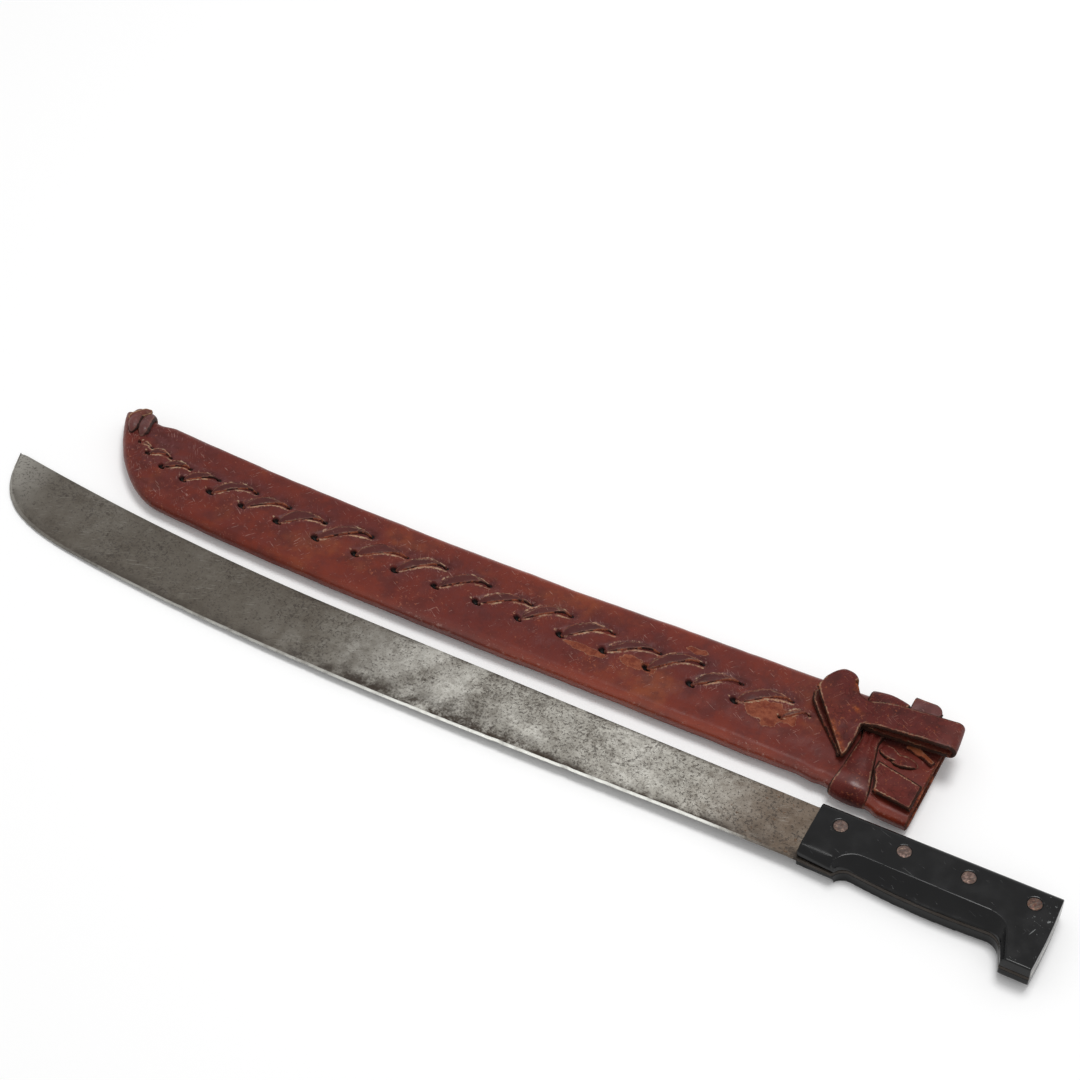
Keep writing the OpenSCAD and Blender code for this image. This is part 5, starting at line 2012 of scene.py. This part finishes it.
@dataclass
class KnotStrap(LeatherPart):
    """The strap that comes up from the keeper, folds over and lies back as a heart.

    low_sides and high_sides give the left and the right side of the strap, below and on top: for
    each point its distance from the fold and its place across.
    """

    rise: float = 6.1
    length: float = 50.0
    top_round: float = 5.0
    low_sides: tuple = (
        ((-49, -3.4), (-46, -5.0), (-28, -23.5), (-20, -30.2), (-12, -31.4), (-6, -30.4), (0, -28.5)),
        ((-49, -1.2), (-46, 0), (-30, 0), (-22, -1.5), (-5, -9), (0, -10.5)),
    )
    high_sides: tuple = (
        ((0, -28.5), (7, -30), (13, -29.8), (19.3, -27.2), (27.7, -20.4), (40, -9.2), (50, -0.8)),
        ((0, -11.5), (2.5, -8.8), (6.5, -6.8), (10, -4.2), (12.5, 6.0),
         (25.5, 6.0), (29, 2.4), (36, 2.7), (47, 1.8), (50, 0.8)),
    )

    def shape(self) -> Shape:
        """Builds the folded strap.

        Returns:
            The strap with its masks.
        """
        plan = self.plan
        x0 = plan.keeper_x - plan.keeper_w / 2
        y0 = plan.far_at(x0) - 1.6
        t = plan.strap_t
        r = self.rise / 2
        middle = plan.lay_z + (self.rise + t) / 2
        low_y = np.linspace(1 - self.length, 0, 34)
        low_left, low_right = (np.interp(low_y, *zip(*side)) for side in self.low_sides)
        turn = np.radians(np.linspace(-90, 90, 17))[1:-1]
        high_y = np.linspace(0, -self.length, 60)
        high_left, high_right = (np.interp(-high_y, *zip(*side)) for side in self.high_sides)
        m = len(turn)
        left = np.concatenate([low_left, np.full(m, -28.5), high_left])
        right = np.concatenate([low_right, np.full(m, -11), high_right])
        y = np.concatenate([low_y, r * np.cos(turn), high_y])
        dip = ease((-high_y - 26) / 24) * 3.2
        z = np.concatenate([np.full(34, middle - r), middle + r * np.sin(turn), middle + r - dip])
        centres = np.c_[x0 + (left + right) / 2, y0 + y, z]
        strap = Ribbon(centres, ALONG_X, right - left, t, crown=0.3, flat_n=27)

        def soften(points: Array, share: Array) -> Array:
            """Rounds the top of the heart and gives it soft swells.

            Args:
                points: points of the strap.
                share: their share across, from -1 to 1.

            Returns:
                The points as they lie.
            """
            local = points[:, 1] - y0
            top = self.top_round
            bend = np.where(share < 0, 2.1 * top * share**2, 0.9 * top * np.abs(share) ** 3)
            pull = bend * ease((local + 20) / 20)
            swell = 0.45 * ripple(points, 9.0, 41.0) + 0.15 * ripple(points, 3.0, 43.0)
            cup = 0.9 * share**2 * ease((points[:, 2] - middle) / 2) * ease((local + 46) / 20)
            return points + np.c_[0 * share, -pull, swell + cup]

        made = strap.shape(soften)
        u = made.points[:, 0] - x0
        v = made.points[:, 1] - y0
        upper = ease((made.points[:, 2] - middle) / 2)
        corner = np.exp(-(((u + 9.5) / 2.2) ** 2) - ((v + 4.5) / 4.5) ** 2)
        off, on = 0.42 * (u + 4) + 0.91 * (v + 21), 0.91 * (u + 4) - 0.42 * (v + 21)
        crease = np.exp(-((off / 1.2) ** 2) - (on / 4.2) ** 2)
        bare = np.interp(-v, [0, 27.7, 40, 50], [-27.2, -20.4, -9.2, -0.8]) + 2.2
        left_edge = bell(u - bare, 2.0) * ease((-v - 28) / 7)
        made.masks[Mask.TORN] = np.clip((0.9 * corner + 0.8 * crease + 0.65 * left_edge) * upper, 0, 1)
        made.masks[Mask.UNDER] *= 0.15
        return made

    def pieces(self, finishes: Finishes) -> list[tuple]:
        """The folded strap."""
        return [(self.shape(), "heart_knot", finishes.strap, "knot_strap", "hide")]


@dataclass
class BeltLoop(LeatherPart):
    """The strap that leaves the knot, loops over at its far end and runs back beneath."""

    width: float = 19.0
    length: float = 54.0
    gap: float = 4.9
    turn: float = 6.0
    end_x: float = 4.5
    end_drop: float = 21.1
    bend_before: float = 0.003
    bend_after: float = 0.006

    def hinge(self) -> Array:
        """Finds the middle of the hinge.

        Returns:
            Its place in millimetres.
        """
        plan = self.plan
        r = self.gap / 2 + plan.strap_t
        x = plan.keeper_x - plan.keeper_w / 2 + self.end_x
        y = plan.far_at(0.0) - self.end_drop
        return np.array([x, y, plan.lay_z + plan.strap_t + plan.move_gap + r])

    def shape(self) -> Shape:
        """Builds the loop.

        Returns:
            The loop with its masks.
        """
        plan = self.plan
        hinge = self.hinge()
        r = self.gap / 2 + plan.strap_t / 2
        run = self.length - 2 * (self.gap / 2 + plan.strap_t)
        top_x = np.linspace(-7.5, run, 60)
        top_z = np.interp(top_x, [-7.5, -3, 0, 4, 10, 20, run], [-1.8, -0.5, 0.6, 2.0, 3.1, 3.75, r])
        angles = np.radians(np.linspace(90, -90, 21))[1:-1]
        low_x = np.linspace(run, -3.5, 46)
        low_z = np.interp(low_x, [-3.5, 4, 30, run], [-2.6, -r, -r - 0.25, -r])
        x = np.concatenate([top_x, run + r * np.cos(angles), low_x])
        z = np.concatenate([top_z, r * np.sin(angles), low_z])
        widths = np.interp(x, [-7.5, 0, 12, run], [17.5, 18.2, 18.6, self.width])
        strap = Ribbon(np.c_[x, 0 * x, z], ALONG_Y, widths, plan.strap_t, crown=0.25, flat_n=21)

        def lay(points: Array, share: Array) -> Array:
            """Turns the loop to its place and gives it soft dents.

            Args:
                points: points of the strap.
                share: their share across, from -1 to 1, not used.

            Returns:
                The points as they lie.
            """
            dent = 0.35 * ripple(points, 11.0, 51.0) + 0.14 * ripple(points, 3.5, 53.0)
            sag = -0.5 * bell(points[:, 0] - 22, 14) * (points[:, 2] > 0)
            u, v, up = lifted(points, dent + sag).T
            c, s = math.cos(math.radians(self.turn)), math.sin(math.radians(self.turn))
            return np.c_[u * c - v * s, u * s + v * c, up] + hinge

        made = strap.shape(lay)
        # The far bend is marked for wear and painted sheen.
        made.masks[Mask.WEAR_AND_SHEEN] = 0.35 * bell(made.points[:, 0] - hinge[0] - 44, 8)
        return made

    def build(self, layout: Layout, finishes: Finishes) -> None:
        """Makes the loop.

        Args:
            layout: where the set lies.
            finishes: the finishes.
        """
        piece = self.shape().piece("hanging_loop", layout.flat)
        piece.data.materials.append(finishes.strap)
        at = layout.flat(self.hinge())
        start, end = tuple(at - (self.bend_before, 0, 0)), tuple(at + (self.bend_after, 0, 0))
        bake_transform(piece)
        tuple(start)
        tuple(end)
        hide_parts("belt_loop")
        LOG.info("%s: %d faces, bends between sheath and loop", piece.name, len(piece.data.polygons))


@dataclass
class MouthPieces(LeatherPart):
    """The small leather pieces at the mouth: patch, lacing, raw end and strap tail."""

    tail_w: float = 11.0

    def patch(self) -> Shape:
        """Builds the broad end of a strap that lies over the near flap.

        Returns:
            The patch.
        """
        plan = self.plan
        px = plan.keeper_x + plan.keeper_w / 2 + plan.move_gap
        y0, w, front = plan.near_at(plan.mouth_ahead), plan.mouth_w, plan.mouth_ahead - 0.4
        outline = [
            [px - 4.6, y0 + 0.29 * w], [px - 1.6, y0 + 0.2 * w], [px, y0 + 0.11 * w],
            [front, y0 + 0.07 * w], [front, y0 + 0.31 * w], [px - 4.6, y0 + 0.38 * w],
        ]

        def curl(points: Array) -> Array:
            """Lifts the near edge of the patch a little."""
            up = 0.9 * ease((y0 + 0.16 * w - points[:, 1]) / 9) + 0.3 * ripple(points, 8.0, 61.0)
            return lifted(points, up)

        return Slab(outline, plan.strap_t, plan.lay_z + 0.05).shape(curl)

    def bight(self, start: Array, end: Array, width: float, seed: float) -> Shape:
        """One broad bight of thong.

        Args:
            start: where it comes out.
            end: where it goes in.
            width: its greatest width.
            seed: varies its surface.

        Returns:
            The bight.
        """
        plan = self.plan
        t = np.linspace(0, 1, 26)
        run = (end - start) / np.linalg.norm(end - start)
        side = np.array([-run[1], run[0]])
        length = np.linalg.norm(end - start) + 3.0
        centre = start + run * (t * length - 1.5)[:, None]
        z = plan.lay_z + 0.75 + np.interp(t, [0, 0.12, 0.5, 0.88, 1], [-1.6, 0.0, 0.5, 0.1, -1.4])
        widths = width * np.interp(t, [0, 0.15, 0.45, 0.8, 1], [0.5, 0.85, 1.0, 0.75, 0.35])
        across = np.c_[np.tile(side, (26, 1)), np.zeros(26)]
        made = Ribbon(np.c_[centre, z], across, widths, plan.lace_t, crown=0.3)
        return made.shape(rippled(0.15, 4.0, seed))

    def raw_end(self) -> Shape:
        """Builds the last end of the thong, split and uncoloured.

        Returns:
            The end.
        """
        plan = self.plan
        a, b = plan.by_mouth(17.5, 0.608), plan.by_mouth(1.2, 0.545)
        t = np.linspace(0, 1, 22)
        run = (b - a) / np.linalg.norm(b - a)
        side = np.array([-run[1], run[0]])
        centre = a + (b - a) * t[:, None] + side * (0.6 * np.sin(4 * t))[:, None]
        z = plan.lay_z + 0.85 + 0.4 * np.sin(3.2 * t)
        across = np.c_[np.tile(side, (22, 1)), 0.4 * np.sin(5 * t)]
        widths = np.interp(t, [0, 0.3, 0.7, 1], [3.0, 4.4, 3.6, 4.6])
        return Ribbon(np.c_[centre, z], across, widths, plan.lace_t, crown=0.1).shape()

    def tail(self) -> Shape:
        """Builds the rounded end of the strap on the far fold.

        Returns:
            The tail.
        """
        plan = self.plan
        x0 = plan.keeper_x - plan.keeper_lean + plan.keeper_w / 2 + 4 * plan.move_gap
        radius = self.tail_w / 2
        middle_y = plan.far_at(x0) - plan.fold_r + 0.6 + radius
        t = np.linspace(0, 1, 30)
        x = x0 + (plan.keeper_neck + radius) * t
        into = np.clip((x - x0 - plan.keeper_neck) / radius, 0, 0.985)
        widths = self.tail_w * np.sqrt(1 - into**2)
        lift = np.interp(t, [0, 0.3, 0.7, 1], [0.0, 0.1, 0.7, 0.3])
        z = plan.top_z + plan.lay_gap + plan.strap_t / 2 + lift
        made = Ribbon(np.c_[x, np.full(30, middle_y), z], ALONG_Y, widths, plan.strap_t, crown=0.5)
        return made.shape(rippled(0.25, 7.0, 71.0))

    def pieces(self, finishes: Finishes) -> list[tuple]:
        """The patch, the bights as one piece, the raw end and the tail."""
        at, width = self.plan.by_mouth, self.plan.lace_w + 0.6
        first = self.bight(at(28.6, 0.508), at(19, 0.465), width, 81.0)
        laces = first.joined(self.bight(at(20.5, 0.455), at(9.5, 0.47), width, 83.0))
        return [
            (self.patch(), "mouth_flap", finishes.strap, "mouth_patch", "hide"),
            (laces, "mouth_bights", finishes.strap, "mouth_lace", "thong"),
            (self.raw_end(), "raw_end", finishes.raw_thong, "mouth_lace_end", "raw_thong"),
            # The tail takes the paler waxed finish, whose tones paint the reflection on its top.
            (self.tail(), "tail_of_strap", finishes.waxed, "strap_tail", "hide"),
        ]


@dataclass
class Studio:
    """Table, lamps, sky and camera."""

    camera_at: tuple[float, float, float] = (0.4270, -0.7545, 1.0579)
    look_at: tuple[float, float, float] = (-0.0255, 0.0837, 0.0)
    lens: float = 81.19
    sensor: float = 36.0
    table_half: float = 4.0
    table_grey: float = 0.96
    table_glow: float = 0.06
    sky_light: float = 0.55

    def looking(self, nodes: Nodes) -> Socket:
        """1 for rays by which the backdrop is seen: straight, mirrored or through glass."""
        rays = nodes.add("ShaderNodeLightPath").outputs
        sees = nodes.most(rays["Is Camera Ray"], rays["Is Glossy Ray"])
        return nodes.most(sees, rays["Is Transmission Ray"])

    def table(self) -> None:
        """A plain pale table top that keeps the shadows."""
        s = self.table_half
        shape = Shape(np.array([[-s, -s, 0], [s, -s, 0], [s, s, 0], [-s, s, 0]]), [[0, 1, 2, 3]])
        top = shape.piece("table_top", lambda p: p, smooth=False)
        material = bpy.data.materials.new("pale_table")
        material.use_nodes = True
        nodes = Nodes(material.node_tree)
        surface = nodes.tree.nodes["Principled BSDF"]
        surface.inputs["Base Color"].default_value = (self.table_grey, self.table_grey, self.table_grey, 1)
        surface.inputs["Roughness"].default_value = 0.7
        surface.inputs["Specular IOR Level"].default_value = 0.1
        strength = nodes.times(self.looking(nodes), self.table_glow)
        glow = nodes.add("ShaderNodeEmission", {"Strength": strength})
        both = nodes.add("ShaderNodeAddShader", {0: surface.outputs[0], 1: glow.outputs[0]})
        nodes.feed(material.node_tree.nodes["Material Output"].inputs["Surface"], both.outputs[0])
        top.data.materials.append(material)

    def sky(self) -> None:
        """A soft white room."""
        world = bpy.data.worlds.new("white_room")
        bpy.context.scene.world = world
        world.use_nodes = True
        nodes = Nodes(world.node_tree)
        level = nodes.ramp(self.looking(nodes), 0.0, 1.0, self.sky_light, 1.0)
        background = world.node_tree.nodes["Background"]
        background.inputs["Color"].default_value = (1, 1, 1, 1)
        nodes.feed(background.inputs["Strength"], level)

    def aimed(self, name: str, data: bpy.types.ID, at: tuple, towards: tuple) -> Object:
        """Places a lamp or a camera.

        Args:
            name: its name.
            data: the lamp or the camera itself.
            at: where it stands.
            towards: the point that it faces.

        Returns:
            The new object.
        """
        made = bpy.data.objects.new(name, data)
        made.location = at
        made.rotation_mode = "QUATERNION"
        made.rotation_quaternion = (Vector(towards) - Vector(at)).to_track_quat("-Z", "Y")
        bpy.context.scene.collection.objects.link(made)
        return made

    def lamp(self, name: str, at: tuple, towards: tuple, size: tuple[float, float], power: float) -> None:
        """One soft lamp.

        Args:
            name: its name.
            at: where it hangs.
            towards: the point that it faces.
            size: its width and height in metres.
            power: its power in watts.
        """
        light = bpy.data.lights.new(name, "AREA")
        light.shape = "RECTANGLE"
        light.size, light.size_y = size
        light.energy = power
        self.aimed(name, light, at, towards)

    def camera(self) -> None:
        """The camera, at the photograph's angle."""
        data = bpy.data.cameras.new("view")
        data.lens = self.lens
        data.sensor_width = self.sensor
        bpy.context.scene.camera = self.aimed("view", data, self.camera_at, self.look_at)

    def build(self) -> None:
        """Sets up the whole studio."""
        self.table()
        self.sky()
        self.lamp("overhead", (0.25, 0.5, 2.5), (0, 0, 0), (0.9, 0.9), 32.0)
        self.camera()
        bpy.context.scene.view_settings.view_transform = "Standard"


def main() -> None:
    """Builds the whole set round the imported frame."""
    logging.basicConfig(level=logging.INFO, format="%(name)s: %(message)s")
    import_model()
    plan, blade, handle = SheathPlan(), Blade(), Handle()
    half_handle = handle.half_steel + handle.scale_t
    tilt = math.atan((half_handle - blade.tip_t / 2) / blade.blade_l)
    layout = Layout(
        shift_x=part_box("sheath_wrap")[1].x / MM - plan.mouth_ahead,
        shift_y=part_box("blade")[1].y / MM - blade.tip_rise,
        tilt=tilt,
        lift=half_handle * math.cos(tilt),
    )
    Studio().build()
    finishes = Finishes.made(layout, blade.blade_l, handle.handle_l)
    blade.build(handle, layout, finishes)
    handle.build(layout, finishes)
    for part in (Wrap, Lacing, TipWhipping, Keeper, KnotStrap, BeltLoop, MouthPieces):
        part(plan).build(layout, finishes)


if __name__ == "__main__":
    main()
